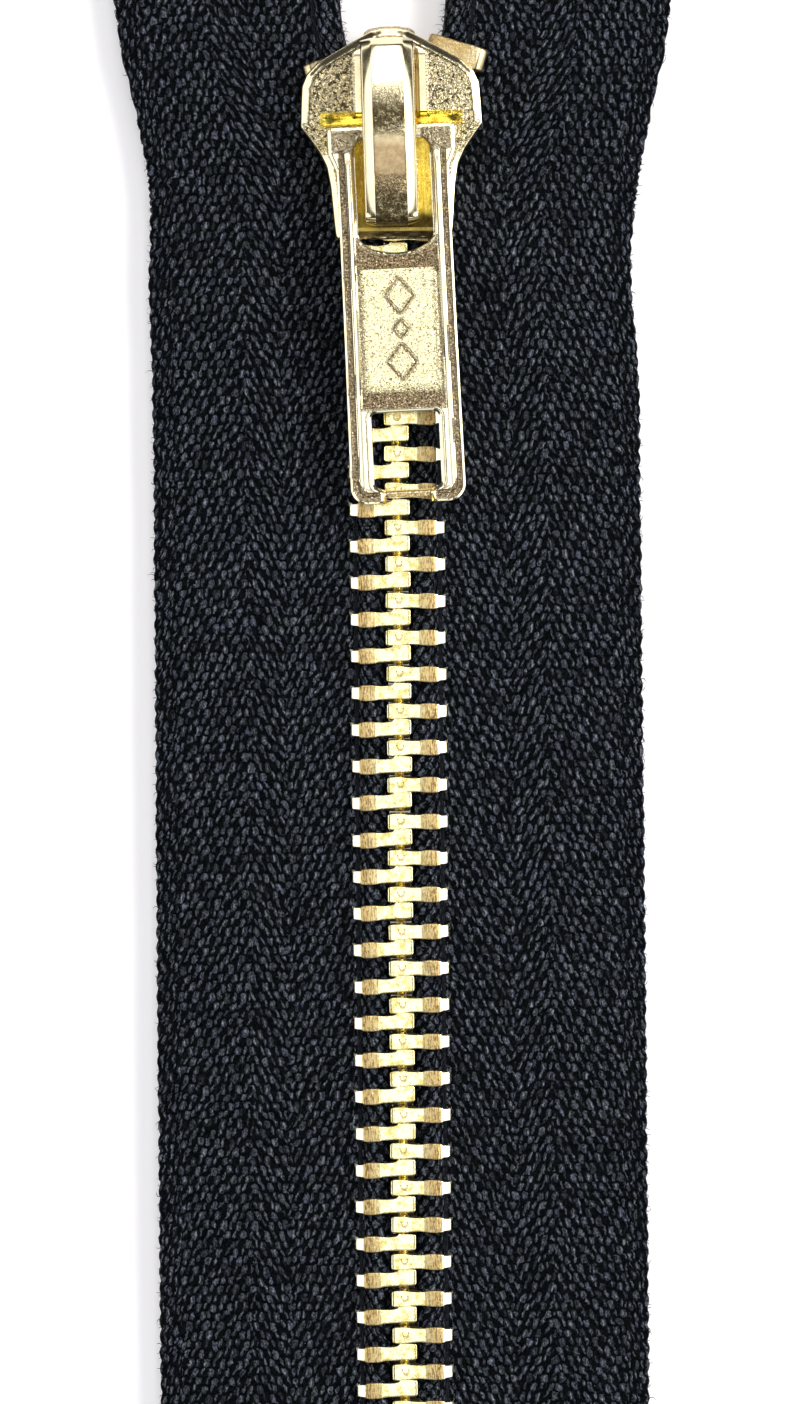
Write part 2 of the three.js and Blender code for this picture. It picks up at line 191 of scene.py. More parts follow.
def ccw(loop):
    loop = np.asarray(loop, float)
    x, y = loop[:, 0], loop[:, 1]
    area = 0.5 * float(np.sum(x * np.roll(y, -1) - y * np.roll(x, -1)))
    return loop if area > 0 else loop[::-1]


def inset(loop, distance):
    """A counter-clockwise loop moved inwards (outwards if negative), point for point."""
    points = np.asarray(loop, float)
    before, after = points - np.roll(points, 1, 0), np.roll(points, -1, 0) - points
    before /= np.linalg.norm(before, axis=1)[:, None]
    after /= np.linalg.norm(after, axis=1)[:, None]
    normal = np.c_[-before[:, 1], before[:, 0]]
    middle = normal + np.c_[-after[:, 1], after[:, 0]]
    middle /= np.maximum(np.linalg.norm(middle, axis=1)[:, None], 1e-9)
    return points + middle * distance / np.maximum((middle * normal).sum(1), 0.45)[:, None]


def arc(x, y, radius, angles):
    return [(x + radius * math.cos(q * RAD), y + radius * math.sin(q * RAD)) for q in angles]


def rounded(points, radii, step=12):
    """A polygon with rounded corners. radii is one number or one for each corner."""
    points = ccw(points)
    count = len(points)
    radii = np.broadcast_to(np.asarray(radii, float), (count,))
    out = []
    for i in range(count):
        corner = points[i]
        back, ahead = points[i - 1] - corner, points[(i + 1) % count] - corner
        back_length, ahead_length = np.linalg.norm(back), np.linalg.norm(ahead)
        back, ahead = back / back_length, ahead / ahead_length
        angle = math.acos(max(-1, min(1, float(back @ ahead))))
        if radii[i] <= 0 or angle > math.pi - 0.02:
            out.append(corner)
            continue
        cut = min(radii[i] / math.tan(angle / 2), back_length * 0.49, ahead_length * 0.49)
        radius = cut * math.tan(angle / 2)
        bisector = (back + ahead) / np.linalg.norm(back + ahead)
        centre = corner + bisector * (radius / math.sin(angle / 2))
        first = math.atan2(*(corner + back * cut - centre)[::-1])
        last = math.atan2(*(corner + ahead * cut - centre)[::-1])
        sweep = (last - first + math.pi) % (2 * math.pi) - math.pi
        pieces = max(2, int(abs(sweep) / (step * RAD)) + 1)
        for j in range(pieces + 1):
            turn = first + sweep * j / pieces
            out.append(centre + radius * np.array([math.cos(turn), math.sin(turn)]))
    return np.array(out)


def dense(loop, spacing):
    """The loop with more points along its long sides."""
    out = []
    points = np.asarray(loop, float)
    for a, b in zip(points, np.roll(points, -1, 0)):
        pieces = max(1, int(np.linalg.norm(b - a) / spacing + 0.5))
        out += [a + (b - a) * i / pieces for i in range(pieces)]
    return np.array(out)


def mirrored_loop(right, radii, spacing, step=12):
    """A rounded loop from its right half, which runs from one end of the axis to the other."""
    points = list(right) + [(-x, y) for x, y in right[::-1]]
    return dense(rounded(points, radii + radii[::-1], step), spacing)


def terrace(piece, rings, up=True, loc=(0, 0, 0)):
    """Joins loops of equal length, each (loop, z). up: the walls face outwards as they rise."""
    size = len(rings[0][0])
    points = np.vstack([np.c_[loop, np.broadcast_to(z, size)] for loop, z in rings])
    piece.add(points, facing(tube_faces(len(rings), size), up), loc)


def flat(piece, loop, z, up=True, loc=(0, 0, 0)):
    """A level face inside the loop."""
    faces = []
    for a, b, c in tessellate_polygon([[Vector((float(x), float(y), 0)) for x, y in loop]]):
        (ax, ay), (bx, by), (cx, cy) = loop[a], loop[b], loop[c]
        turn = (bx - ax) * (cy - ay) - (by - ay) * (cx - ax)
        if abs(turn) >= 1e-12:
            faces.append((a, b, c) if (turn > 0) == up else (a, c, b))
    piece.add(np.c_[loop, np.full(len(loop), z)], faces, loc)


def to_loop(points, loop):
    """Distance of each point from the loop's sides."""
    side = np.roll(loop, -1, 0) - loop
    share = np.clip(((points[:, None] - loop) * side).sum(-1) / (side * side).sum(-1), 0, 1)
    nearest = loop + share[..., None] * side
    return np.sqrt(((nearest - points[:, None]) ** 2).sum(-1)).min(1)


def inside(points, loop):
    a, b = loop, np.roll(loop, -1, 0)
    x, y = points[:, 0:1], points[:, 1:2]
    crossing_x = (b[:, 0] - a[:, 0]) * (y - a[:, 1]) / (b[:, 1] - a[:, 1] + 1e-12) + a[:, 0]
    crossed = ((a[:, 1] > y) != (b[:, 1] > y)) & (x < crossing_x)
    return (crossed.sum(1) % 2) == 1


def relief(piece, loop, height, marks, spacing, up=True, holes=()):
    """A worked face inside the loop and round the holes; height and marks are functions of
    the points, marks giving loc and rnd, or nothing."""
    x0, y0 = loop.min(0)
    x1, y1 = loop.max(0)
    grid = (np.arange(x0, x1, spacing), np.arange(y0, y1, spacing))
    grid_x, grid_y = np.meshgrid(*grid, indexing="ij")
    grid_x = grid_x + (np.arange(grid_x.shape[1])[None, :] % 2) * spacing * 0.5
    points = np.c_[grid_x.ravel(), grid_y.ravel()]
    points = points[inside(points, loop)]
    points = points[to_loop(points, loop) > spacing * 0.55]
    for hole in holes:
        points = points[~inside(points, hole)]
        points = points[to_loop(points, hole) > spacing * 0.55]
    edges, base = [], 0
    for ring in (loop, *holes):
        size = len(ring)
        edges += [(base + i, base + (i + 1) % size) for i in range(size)]
        base += size
    sites = [Vector((float(x), float(y))) for x, y in np.vstack([loop, *holes, points])]
    outline = [list(range(len(loop)))]
    points, _, faces, *_ = delaunay_2d_cdt(sites, edges, outline, 1, 1e-6)
    points = np.array([[q.x, q.y] for q in points])
    faces = np.array([list(face)[:3] for face in faces])
    centres = points[faces].mean(1)
    keep = np.ones(len(faces), bool)
    for hole in holes:
        keep &= ~inside(centres, hole)
    faces = faces[keep]
    a, b, c = (points[faces[:, i]] for i in range(3))
    ab, ac = b - a, c - a
    wrong = (ab[:, 0] * ac[:, 1] - ab[:, 1] * ac[:, 0] > 0) != up
    faces[wrong] = faces[wrong][:, ::-1]
    piece.add(np.c_[points, height(points)], faces.tolist(), *marks(points))


def ease(x, start, end):
    """Smooth step from 0 at start to 1 at end."""
    t = np.clip((x - start) / (end - start), 0, 1)
    return t * t * (3 - 2 * t)


def value_noise(x, y, seed):
    grid = np.random.default_rng(seed).random((64, 64))
    xi, yi = np.floor(x).astype(int), np.floor(y).astype(int)
    fx, fy = x - xi, y - yi
    fx, fy = fx * fx * (3 - 2 * fx), fy * fy * (3 - 2 * fy)

    def row(j):
        return grid[xi % 64, j % 64] * (1 - fx) + grid[(xi + 1) % 64, j % 64] * fx

    return row(yi) * (1 - fy) + row(yi + 1) * fy


# ------------------------------------------------------------------ shader helpers
def connect(socket, value):
    """Links a Value to the input, or sets it to a number, vector or colour."""
    if isinstance(value, Value):
        value.tree.links.new(value.socket, socket)
    elif value is not None:
        socket.default_value = (*value, 1) if socket.type == "RGBA" else value


def add_node(tree, kind, inputs=(), output=0, **settings):
    """Adds a node and returns one of its outputs. inputs is a list, or a dict by socket."""
    node = tree.nodes.new("ShaderNode" + kind)
    for key, value in settings.items():
        setattr(node, key, value)
    for key, value in inputs.items() if isinstance(inputs, dict) else enumerate(inputs):
        connect(node.inputs[key], value)
    return Value(tree, node.outputs[output])


def calculate(operation, *inputs, clamp=False):
    tree = next(q.tree for q in inputs if isinstance(q, Value))
    return add_node(tree, "Math", inputs, operation=operation, use_clamp=clamp)


def operator(operation, swapped=False):
    def apply(self, *other):
        return calculate(operation, *((*other, self) if swapped else (self, *other)))

    return apply


class Value:
    """An output of a shader node. Arithmetic on it adds Math nodes."""

    def __init__(self, tree, socket):
        self.tree, self.socket = tree, socket

    __add__, __radd__ = operator("ADD"), operator("ADD", swapped=True)
    __sub__, __rsub__ = operator("SUBTRACT"), operator("SUBTRACT", swapped=True)
    __mul__, __rmul__ = operator("MULTIPLY"), operator("MULTIPLY", swapped=True)
    __truediv__, __rtruediv__ = operator("DIVIDE"), operator("DIVIDE", swapped=True)
    __lt__, __gt__ = operator("LESS_THAN"), operator("GREATER_THAN")
    __pow__, __abs__, __round__ = operator("POWER"), operator("ABSOLUTE"), operator("ROUND")

    def ramp(self, start, end, to=(0.0, 1.0)):
        """Smooth step between the two values of to, as the input goes from start to end."""
        inputs = [self, start, end, *to]
        return add_node(self.tree, "MapRange", inputs, interpolation_type="SMOOTHSTEP")

    def scaled(self, x, y, z):
        return add_node(self.tree, "VectorMath", [self, (x, y, z)], operation="MULTIPLY")

    def split(self):
        node = add_node(self.tree, "SeparateXYZ", [self]).socket.node
        return [Value(self.tree, socket) for socket in node.outputs]


def band(value, first, second):
    """The product of two ramps, each (start, end)."""
    return value.ramp(*first) * value.ramp(*second)


def larger(a, b):
    return calculate("MAXIMUM", a, b)


def clamped(value):
    return calculate("MULTIPLY", value, 1.0, clamp=True)


def join(x, y, z):
    return add_node(x.tree, "CombineXYZ", [x, y, z])


def noise(vector, scale=1.0, detail=3, roughness=0.55):
    inputs = {"Vector": vector, "Scale": scale, "Detail": detail, "Roughness": roughness}
    return add_node(vector.tree, "TexNoise", inputs)


def mix(amount, under, over):
    inputs = {0: amount, 6: under, 7: over}
    return add_node(amount.tree, "Mix", inputs, 2, data_type="RGBA", clamp_factor=False)


def mix_numbers(amount, a, b):
    return add_node(amount.tree, "Mix", {0: amount, 2: a, 3: b}, data_type="FLOAT")


def bump(height, distance, strength=1.0, normal=None):
    """distance is in metres."""
    inputs = {"Strength": strength, "Distance": distance, "Height": height, "Normal": normal}
    return add_node(height.tree, "Bump", inputs)


class Material:
    """A material with one Principled shader."""

    def __init__(self, name):
        self.data = bpy.data.materials.new(name)
        self.data.use_nodes = True
        self.tree = self.data.node_tree
        self.tree.nodes.clear()
        self.output = self.tree.nodes.new("ShaderNodeOutputMaterial").inputs[0]
        self.shader = self.tree.nodes.new("ShaderNodeBsdfPrincipled")
        connect(self.output, Value(self.tree, self.shader.outputs[0]))

    def attribute(self, name):
        return add_node(self.tree, "Attribute", output="Vector", attribute_name=name)

    def place(self):
        """Place in the object, in metres."""
        return add_node(self.tree, "TexCoord", output="Object")

    def geometry(self, output):
        return add_node(self.tree, "NewGeometry", output=output)

    def edges(self, gain):
        """0.5 on level ground, lower in hollows and higher on edges."""
        return calculate("ADD", (self.geometry("Pointiness") - 0.5) * gain, 0.5, clamp=True)

    def set(self, inputs):
        for key, value in inputs.items():
            connect(self.shader.inputs[key], value)
        return self.data

    def surface(self, color, roughness, normal):
        return self.set({"Base Color": color, "Roughness": roughness, "Normal": normal})


# ------------------------------------------------------------------ cloth
FLOAT_PITCH, PICK = 1.048, 0.60  # one group of floats across, one pick along
TWILL_STEP = 0.458  # the twill's sideways step for each mm along
TAPE_FOLD = 14.25  # distance across the skin at which front becomes back
LEFT_ACROSS = 40.0  # added to the left tape's distance across, to part the two


def cloth_material():
    """Weave drawn from loc: across the skin, along the warp, side (-1 or 1)."""
    cloth = Material("zipper_tape_weave")
    loc = cloth.attribute("loc")
    across, along, side = loc.split()
    across = across - (side < 0.0) * LEFT_ACROSS
    across = TAPE_FOLD - abs(across - TAPE_FOLD)  # the same weave front and back
    drift = noise(loc.scaled(0.5, 0.5, 1.0), detail=2)
    wander = noise(loc.scaled(1.1, 1.1, 2.0))
    tremble = noise(loc.scaled(3.3, 3.3, 3.0), detail=2)
    across = across + (wander - 0.5) * 0.50 + (tremble - 0.5) * 0.20
    along = along + (drift - 0.5) * 0.8 + (tremble - 0.5) * 0.26
    # the herringbone turns back in a narrow stripe, and is finer at the selvedge and bead
    turning = across + (noise(loc.scaled(1.0, 1.0, 5.0), detail=2) - 0.5) * 1.7
    stripe = (turning > 5.5) * (turning < 7.95)
    selvedge = across > 12.65
    cord = across < 1.25
    way = mix_numbers(stripe, 1.0, -1.0)
    pitch = mix_numbers(selvedge, mix_numbers(cord, FLOAT_PITCH, 0.56), 0.74)
    pick = mix_numbers(selvedge, mix_numbers(cord, PICK, 0.50), 0.66)
    step = mix_numbers(cord, TWILL_STEP, 0.56)
    column = (across - along * step * way) / pitch
    row = along / pick

    def floats(column0, row0, half_width, half_length, slant, seed, power=2.0):
        """One kind of float: its place in the repeat, half sizes in mm and slant.
        Gives its dome, a random number, its mask and its painted highlight."""
        columns, rows = column - column0, row - row0
        i, j = round(columns), round(rows)
        cell = join(i, j, seed + (side * 3.0 + stripe * 5.0))
        chance = add_node(cell.tree, "TexWhiteNoise", {"Vector": cell}, "Color")
        shift_x, shift_y, chance = chance.split()
        y = (rows - j) * pick
        x = (columns - i) * pitch + y * step * way
        x = x + (shift_x - 0.5) * 0.15
        y = y + (shift_y - 0.5) * 0.16
        x = x + y * slant * way
        reach = abs(x / half_width) ** power + abs(y / half_length) ** power
        dome = calculate("SQRT", larger(1.0 - reach, 0.0))
        offset = (calculate("FRACT", chance * 7.3) - 0.5) * (half_width * 1.1)
        core_x = (x - offset) / (half_width * 0.30)
        core_y = y / (half_length * 0.68)
        highlight = (core_x * core_x + core_y * core_y).ramp(1.25, 0.3)
        highlight = highlight * calculate("FRACT", chance * 3.7)
        return dome, chance, reach.ramp(1.20, 0.60), highlight

    narrow = mix_numbers(larger(selvedge, cord), 1.0, 0.62)
    big, big_chance, big_mask, big_highlight = floats(
        0.0, 0.0, half_width=0.200 * narrow, half_length=0.335, slant=0.20, seed=1.3, power=2.4
    )
    small_y = 0.12
    small_column = (way * -0.473 - small_y * step * way) / pitch
    small, small_chance, small_mask, small_highlight = floats(
        small_column, small_y / pick, half_width=0.110 * narrow, half_length=0.285,
        slant=0.30, seed=6.1,
    )

    twist = (big_chance - 0.5) * 0.5
    filament_place = join((across + along * twist) * 16.0, along * 5.0, side)
    filament = noise(filament_place, roughness=0.7)
    fuzz = noise(loc.scaled(11, 11, 1), detail=4, roughness=0.65)
    speck = noise(loc.scaled(9, 7, 1.5), roughness=0.65)
    height = larger(big * (0.80 + big_chance * 0.35), small * (0.65 + small_chance * 0.40))
    # how bright each place is drawn: the yarn's tone, with painted highlights on the floats' cores
    mask = larger(
        big_mask * (0.40 + big_chance * 0.75), small_mask * (0.35 + small_chance * 1.1)
    )
    # painted highlights: the floats' bright cores
    mask = mask + (big_highlight * 2.3 + small_highlight * 2.0)
    mask = larger(mask, fuzz * 0.125)
    mask = mask * filament.ramp(0.36, 0.66, to=(0.12, 2.0))
    mask = mask * speck.ramp(0.34, 0.70, to=(0.28, 1.85))
    mask = mask * drift.ramp(0.28, 0.72, to=(0.85, 1.15))
    height = height + ((filament - 0.5) * 0.55 + fuzz * 0.25)
    tint = noise(loc.scaled(0.8, 0.8, 1.3), detail=2).ramp(0.40, 0.62)
    yarn = mix(tint, under=(0.0284, 0.0345, 0.0428), over=(0.0284, 0.0334, 0.0500))
    # painted shade: near black in the gaps between floats
    color = mix(calculate("MINIMUM", mask, 3.0), under=(0.0004, 0.0006, 0.0008), over=yarn)
    # painted glints: a bright streak here and there on the big floats
    spark = noise(loc.scaled(14, 5, 3), detail=1).ramp(0.775, 0.80)
    color = mix(spark * big_chance.ramp(0.5, 0.8), color, over=(0.35, 0.36, 0.38))
    # painted highlights: the floats' cores brighter still
    lit = larger(big_highlight, small_highlight) ** 2.0 * speck.ramp(0.40, 0.62, to=(0.2, 1.0))
    color = mix(lit * 0.42, color, over=(0.27, 0.29, 0.31))
    cloth.set({"Specular IOR Level": 0.005 + mask * 0.24})
    roughness = mix_numbers(filament.ramp(0.3, 0.7), 0.36, 0.55)
    return cloth.surface(color, roughness, bump(height, distance=0.00010))


# ------------------------------------------------------------------ gilt and brass
def brass(name, light, deep, roughness, stipple_depth, fading_pocks=False, seams=False):
    """Base tone, painted shade in the hollows, fine polish lines. Depths are metres.
    loc: distance in from the rim, painted reflection of gold in gold, stippled ground.
    rnd: umber ground, painted shade (with seams, the distance from an opening, which places painted
    shade lines), pale ground."""
    metal = Material(name)
    place = metal.place()
    rim, gold_reflection, ground = metal.attribute("loc").split()
    cloud = noise(place, scale=900.0, detail=4, roughness=0.6)
    fine = noise(place, scale=12000.0, roughness=0.6)
    polish = noise(place.scaled(1.0, 0.06, 1.0), scale=26000.0, detail=2)
    worn_light = tuple(q * 0.93 for q in light)
    color = mix(cloud.ramp(0.35, 0.7), light, over=worn_light)
    # painted shade: darker in the hollows
    color = mix(metal.edges(gain=6.0).ramp(0.42, 0.1) * 0.6, color, over=deep)
    roughness = roughness + cloud.ramp(0.3, 0.75) * 0.08
    normal = bump(fine * 0.35 + polish * 0.05, distance=0.000004, strength=0.5)

    # stippled ground, with its dark pocks
    cells = add_node(metal.tree, "TexVoronoi", {"Vector": place, "Scale": 9000.0})
    stipple = noise(place, scale=5200.0, detail=2, roughness=0.7).ramp(0.38, 0.62)
    stipple = stipple + cells * 0.8
    ground = clamped(ground)
    normal = bump(stipple * ground, distance=stipple_depth, normal=normal)
    color = mix(ground * stipple.ramp(0.95, 0.35, to=(0.0, 0.58)), color, over=deep)
    pock = noise(place.scaled(1.0, 1.0, 0.12), scale=4400.0, detail=2, roughness=0.85)
    if fading_pocks:  # fewer towards positive x
        pock = pock - place.split()[0].ramp(0.0008, 0.0018, to=(0.0, 0.028))
    pock = pock.ramp(0.518, 0.560)
    color = mix(ground * pock * 0.92, color, over=(0.035, 0.025, 0.010))
    roughness = roughness + ground * 0.10

    # painted reflection of gold in gold, where loc.y asks for it
    patches = noise(place, scale=1500.0, roughness=0.7).ramp(0.45, 0.62)
    gold_reflection_tone = mix(patches, under=(1.0, 0.80, 0.12), over=(0.60, 0.36, 0.04))
    color = mix(clamped(gold_reflection), color, over=gold_reflection_tone)

    umber, painted_dark, pale = metal.attribute("rnd").split()
    place = place.scaled(1.0, 1.0, 0.12)
    grit = noise(place, scale=7500.0, detail=2, roughness=0.8)
    if seams:
        # painted shade: crisp dark lines in the creases where one worked surface meets the next
        def seam(distance, start, end, soft=0.02):
            return band(distance, (start - soft, start + soft), (end + soft, end - soft))

        dots = noise(place, scale=9000.0, detail=2, roughness=0.7).ramp(0.40, 0.56)
        lines = larger(seam(rim, 0.155, 0.205) * 0.9, seam(rim, 0.505, 0.565) * 0.9)
        lines = larger(lines, seam(painted_dark, 0.30, 0.385) * (0.35 + dots * 0.6))
        painted_dark = larger(lines, seam(painted_dark, 0.15, 0.175) * 0.45)
    pits = noise(place, scale=8200.0, detail=2, roughness=0.7) + (1.0 - pale) * 0.10
    pale_tone = mix(pits.ramp(0.57, 0.62), under=(1.0, 0.92, 0.56), over=(0.26, 0.18, 0.06))
    color = mix(pale.ramp(0.1, 0.4), color, over=pale_tone)
    # painted glints on the umber ground
    glint = noise(place.scaled(1.0, 1.0, 3.0), scale=8800.0, detail=1).ramp(0.60, 0.66)
    umber_tone = mix(
        grit.ramp(0.45, 0.58), under=(0.42, 0.31, 0.18), over=(0.085, 0.055, 0.028)
    )
    umber_tone = mix(glint, umber_tone, over=(0.85, 0.70, 0.44))
    color = mix(clamped(umber), color, over=umber_tone)
    # painted shade where rnd.y asks for it
    color = mix(clamped(painted_dark), color, over=(0.03, 0.02, 0.01))
    roughness = roughness + (umber * 0.10 + painted_dark * 0.2)
    metallic = calculate("SUBTRACT", 1.0, painted_dark * 0.9, clamp=True)
    metal.set({"Metallic": metallic, "Specular IOR Level": 0.1})
    return metal, color, roughness, normal


def slider_material():
    """Places in the ramps are metres in the part's frame."""
    metal, color, roughness, normal = brass(
        "zipper_slider_gilt", light=(0.96, 0.83, 0.52), deep=(0.12, 0.085, 0.03),
        roughness=0.11, stipple_depth=0.0000544, fading_pocks=True,
    )
    x, y, z = metal.place().split()
    rim = metal.attribute("loc").split()[0]
    # the line scribed inside the bevel, darkened with painted shade
    scribe = band(rim, (0.50, 0.53), (0.60, 0.57)) * y.ramp(0.0950, 0.0956)
    color = mix(scribe * 0.75, color, over=(0.05, 0.035, 0.015))
    # the painted shade left of the bridge, which emission also lifts with a faint painted glow
    shadow = x.ramp(-0.0012, -0.0016) * band(y, (0.0950, 0.0944), (0.0885, 0.0890))
    shadow = shadow * z.ramp(0.0019, 0.0020)
    shadow_depth = shadow * x.ramp(-0.0030, -0.0028, to=(0.0, 0.3))
    color = mix(shadow_depth, color, over=(0.50, 0.33, 0.08))
    # painted reflection: the right of the bridge glows, through emission, with its own reflected
    # gold
    glow = band(x, (0.0010, 0.0014), (0.0030, 0.0027))
    glow = glow * band(y, (0.0952, 0.0946), (0.0897, 0.0905)) * z.ramp(0.0019, 0.0020)
    patches = noise(metal.place(), scale=2500.0, detail=2, roughness=0.7).ramp(0.50, 0.66)
    glow_tone = mix(patches, under=(1.0, 0.90, 0.34), over=(0.78, 0.50, 0.08))
    color = mix(glow * 0.9, color, over=glow_tone)
    streaks = noise(
        metal.place().scaled(1.0, 0.22, 1.0), scale=5200.0, detail=2, roughness=0.7
    )
    strength = glow * streaks.ramp(0.40, 0.62, to=(0.50, 0.20)) + shadow * 0.07
    metal.set({"Emission Color": (1.0, 0.76, 0.12), "Emission Strength": strength})

    # painted shade on the tail end, with one painted highlight line across
    def between_sides():
        return abs(x).ramp(0.0029, 0.0027) * z.ramp(0.0008, 0.0012)

    foot = y.ramp(0.0896, 0.0889) * between_sides()
    streaks = noise(metal.place().scaled(0.25, 1.0, 1.0), scale=6000.0, detail=2)
    foot = foot * streaks.ramp(0.60, 0.45, to=(0.35, 0.95))
    color = mix(foot, color, over=(0.05, 0.03, 0.01))
    line = abs(y - 0.08902).ramp(0.00015, 0.00008) * between_sides()
    color = mix(line * 0.85, color, over=(1.0, 0.76, 0.22))
    # the dull nose
    nose = y.ramp(0.1011, 0.1013) * z.ramp(0.0005, 0.0009)
    patches = noise(metal.place(), scale=6000.0, detail=2, roughness=0.7).ramp(0.44, 0.6)
    nose_tone = mix(patches, under=(0.80, 0.62, 0.38), over=(0.34, 0.24, 0.12))
    color = mix(nose * 0.50, color, over=nose_tone)
    return metal.surface(color, roughness, normal)


def bridge_material():
    """The cap's polished top, with painted reflections in bands across its length: two dark bands
    and a warm one. Here loc.x marks the top.
    """
    metal, color, roughness, normal = brass(
        "zipper_bridge_gilt", light=(0.96, 0.83, 0.52), deep=(0.22, 0.15, 0.05),
        roughness=0.11, stipple_depth=0.000048,
    )
    y = metal.place().split()[1]
    top = metal.attribute("loc").split()[0]
    reflection_mottle = noise(metal.place(), scale=2600.0, roughness=0.7)
    # painted reflections: dark bands and a warm band across the top
    upper = band(y, (0.0940, 0.0958), (0.0984, 0.0964))
    painted_dark = larger(upper, band(y, (0.0888, 0.0894), (0.0926, 0.0912)) * 1.0)
    warm_reflection = band(y, (0.0905, 0.0925), (0.0955, 0.0940))
    painted_dark = painted_dark * top * reflection_mottle.ramp(0.36, 0.54, to=(0.55, 1.0))
    color = mix(painted_dark, color, over=(0.085, 0.064, 0.03))
    warm_reflection = warm_reflection * top * reflection_mottle.ramp(0.3, 0.7, to=(0.84, 0.97))
    color = mix(warm_reflection, color, over=(0.265, 0.178, 0.088))
    return metal.surface(color, roughness, normal)


def pull_material():
    metal, *surface = brass(
        "zipper_pull_gilt", light=(0.97, 0.87, 0.60), deep=(0.24, 0.16, 0.07),
        roughness=0.12, stipple_depth=0.000054, seams=True,
    )
    return metal.surface(*surface)


def stop_material():
    """Here loc.x is the place relative to the outer end, in mm."""
    metal, color, roughness, normal = brass(
        "zipper_stop_brass", light=(0.86, 0.70, 0.40), deep=(0.26, 0.17, 0.06),
        roughness=0.26, stipple_depth=0.000048,
    )
    end = metal.attribute("loc").split()[0]
    mottle = noise(metal.place(), scale=1700.0, roughness=0.65)
    # painted shade: warm brown towards the inner end
    brown_darkening = end.ramp(-0.75, -1.6) * mottle.ramp(0.38, 0.60, to=(0.15, 0.75))
    color = mix(brown_darkening, color, over=(0.52, 0.34, 0.12))
    # painted shade along the crimp's fold
    fold = band(end, (-0.56, -0.49), (-0.37, -0.44))
    fold = fold * mottle.ramp(0.35, 0.55, to=(0.35, 0.85))
    color = mix(fold, color, over=(0.07, 0.045, 0.02))
    return metal.surface(color, roughness, normal)


def leaf_material():
    metal, *surface = brass(
        "zipper_leaf_spring", light=(0.80, 0.66, 0.38), deep=(0.35, 0.24, 0.09),
        roughness=0.28, stipple_depth=0.000018,
    )
    return metal.surface(*surface)


def tooth_material(side):
    """loc is the place in the tooth's own frame, rnd a random vector for each tooth."""
    metal = Material("zipper_tooth_brass_" + side)
    out, up, face = metal.attribute("loc").split()
    chance_x, chance_y, _ = metal.attribute("rnd").split()
    shift = join(chance_x * 9.1, chance_y * 7.3, 0.0)
    own = add_node(metal.tree, "VectorMath", [join(out, up, face), shift], operation="ADD")
    # the ribbed band across the tooth's waist
    start, end = (-0.40, 0.66) if side == "left" else (-0.52, 0.54)
    waist = band(out, (start - 0.04, start + 0.04), (end + 0.03, end - 0.03))
    ribs = noise(own.scaled(12.0, 2.0, 1.0), roughness=0.7)
    grit = noise(own.scaled(6.0, 6.0, 6.0), detail=4, roughness=0.7)
    ribs = ribs + (grit - 0.5) * 0.45
    mottle = noise(own.scaled(2.2, 2.2, 2.2), roughness=0.6)
    fine = noise(metal.place(), scale=9000.0, roughness=0.6)
    brown = (0.30, 0.17, 0.05)

    def waist_shading():
        return waist * out.ramp(start, end, to=(0.55, 0.95))

    color = mix(mottle.ramp(0.46, 0.66), under=(0.99, 0.90, 0.53), over=(0.80, 0.64, 0.22))
    # painted highlight: the leg's sloping outer end drawn paler
    color = mix(out.ramp(end + 0.06, end + 0.14), color, over=(1.0, 0.94, 0.72))
    grime = grit.ramp(0.58, 0.66) * out.ramp(end, start, to=(0.1, 0.75))
    color = mix(grime, color, over=(0.48, 0.33, 0.11))
    # painted reflection browns the waist band, and painted shade darkens its rib lines
    color = mix(waist_shading(), color, over=(0.72, 0.51, 0.21))
    color = mix(waist_shading() * ribs.ramp(0.47, 0.58), color, over=(0.23, 0.13, 0.045))
    # painted shade in the pocket between one head and the next
    pocket_shade = abs(face).ramp(1.10, 1.02) * out.ramp(-0.75, -0.95)
    pocket_shade = pocket_shade * abs(out + 1.88).ramp(0.20, 0.34)
    color = mix(pocket_shade * 0.96, color, over=(0.02, 0.012, 0.006))
    # a line where the crimped leg begins
    line = band(out, (end - 0.03, end + 0.02), (end + 0.11, end + 0.05))
    color = mix(line * 0.55, color, over=brown)
    height = ribs * waist * 1.0 + mottle * 0.12
    if side == "right":
        # the stamping's small half-moon dimple on the head, darkened with painted shade
        x, y = out - -1.86, up - 0.12
        distance = calculate("SQRT", x * x + y * y * 0.6)
        dimple = abs(distance - 0.21).ramp(0.065, 0.03) * y.ramp(0.10, 0.0)
        dimple = dimple * face.ramp(0.9, 1.0)
        color = mix(dimple * 0.65, color, over=(0.45, 0.30, 0.10))
        height = height - dimple * 0.6
    # painted shade: darker brown in the hollows
    color = mix(metal.edges(gain=5.0).ramp(0.3, 0.0) * 0.3, color, over=brown)
    roughness = 0.18 + (waist * 0.14 + mottle.ramp(0.4, 0.8) * 0.12)
    grain = bump(fine + grit * 1.6, distance=0.000006, strength=0.7)
    normal = bump(height, distance=0.00004, strength=0.8, normal=grain)
    metal.set({"Metallic": 1.0 - pocket_shade, "Specular IOR Level": 0.0})
    return metal.surface(color, roughness + pocket_shade * 0.4, normal)


CLOTH = cloth_material()
SLIDER, BRIDGE, PULL = slider_material(), bridge_material(), pull_material()
STOP, LEAF = stop_material(), leaf_material()
TOOTH = {side: tooth_material(side) for side in SIGN}

# ------------------------------------------------------------------ tapes
TAPE_OUT = 14.1  # bead centre to selvedge
TAPE_HALF = 0.285  # half the tape's thickness
BEAD_RADIUS = 0.80
SELVEDGE_POINTS = 5
TAPE_SETTLE = 0.35  # how far the selvedge lies back
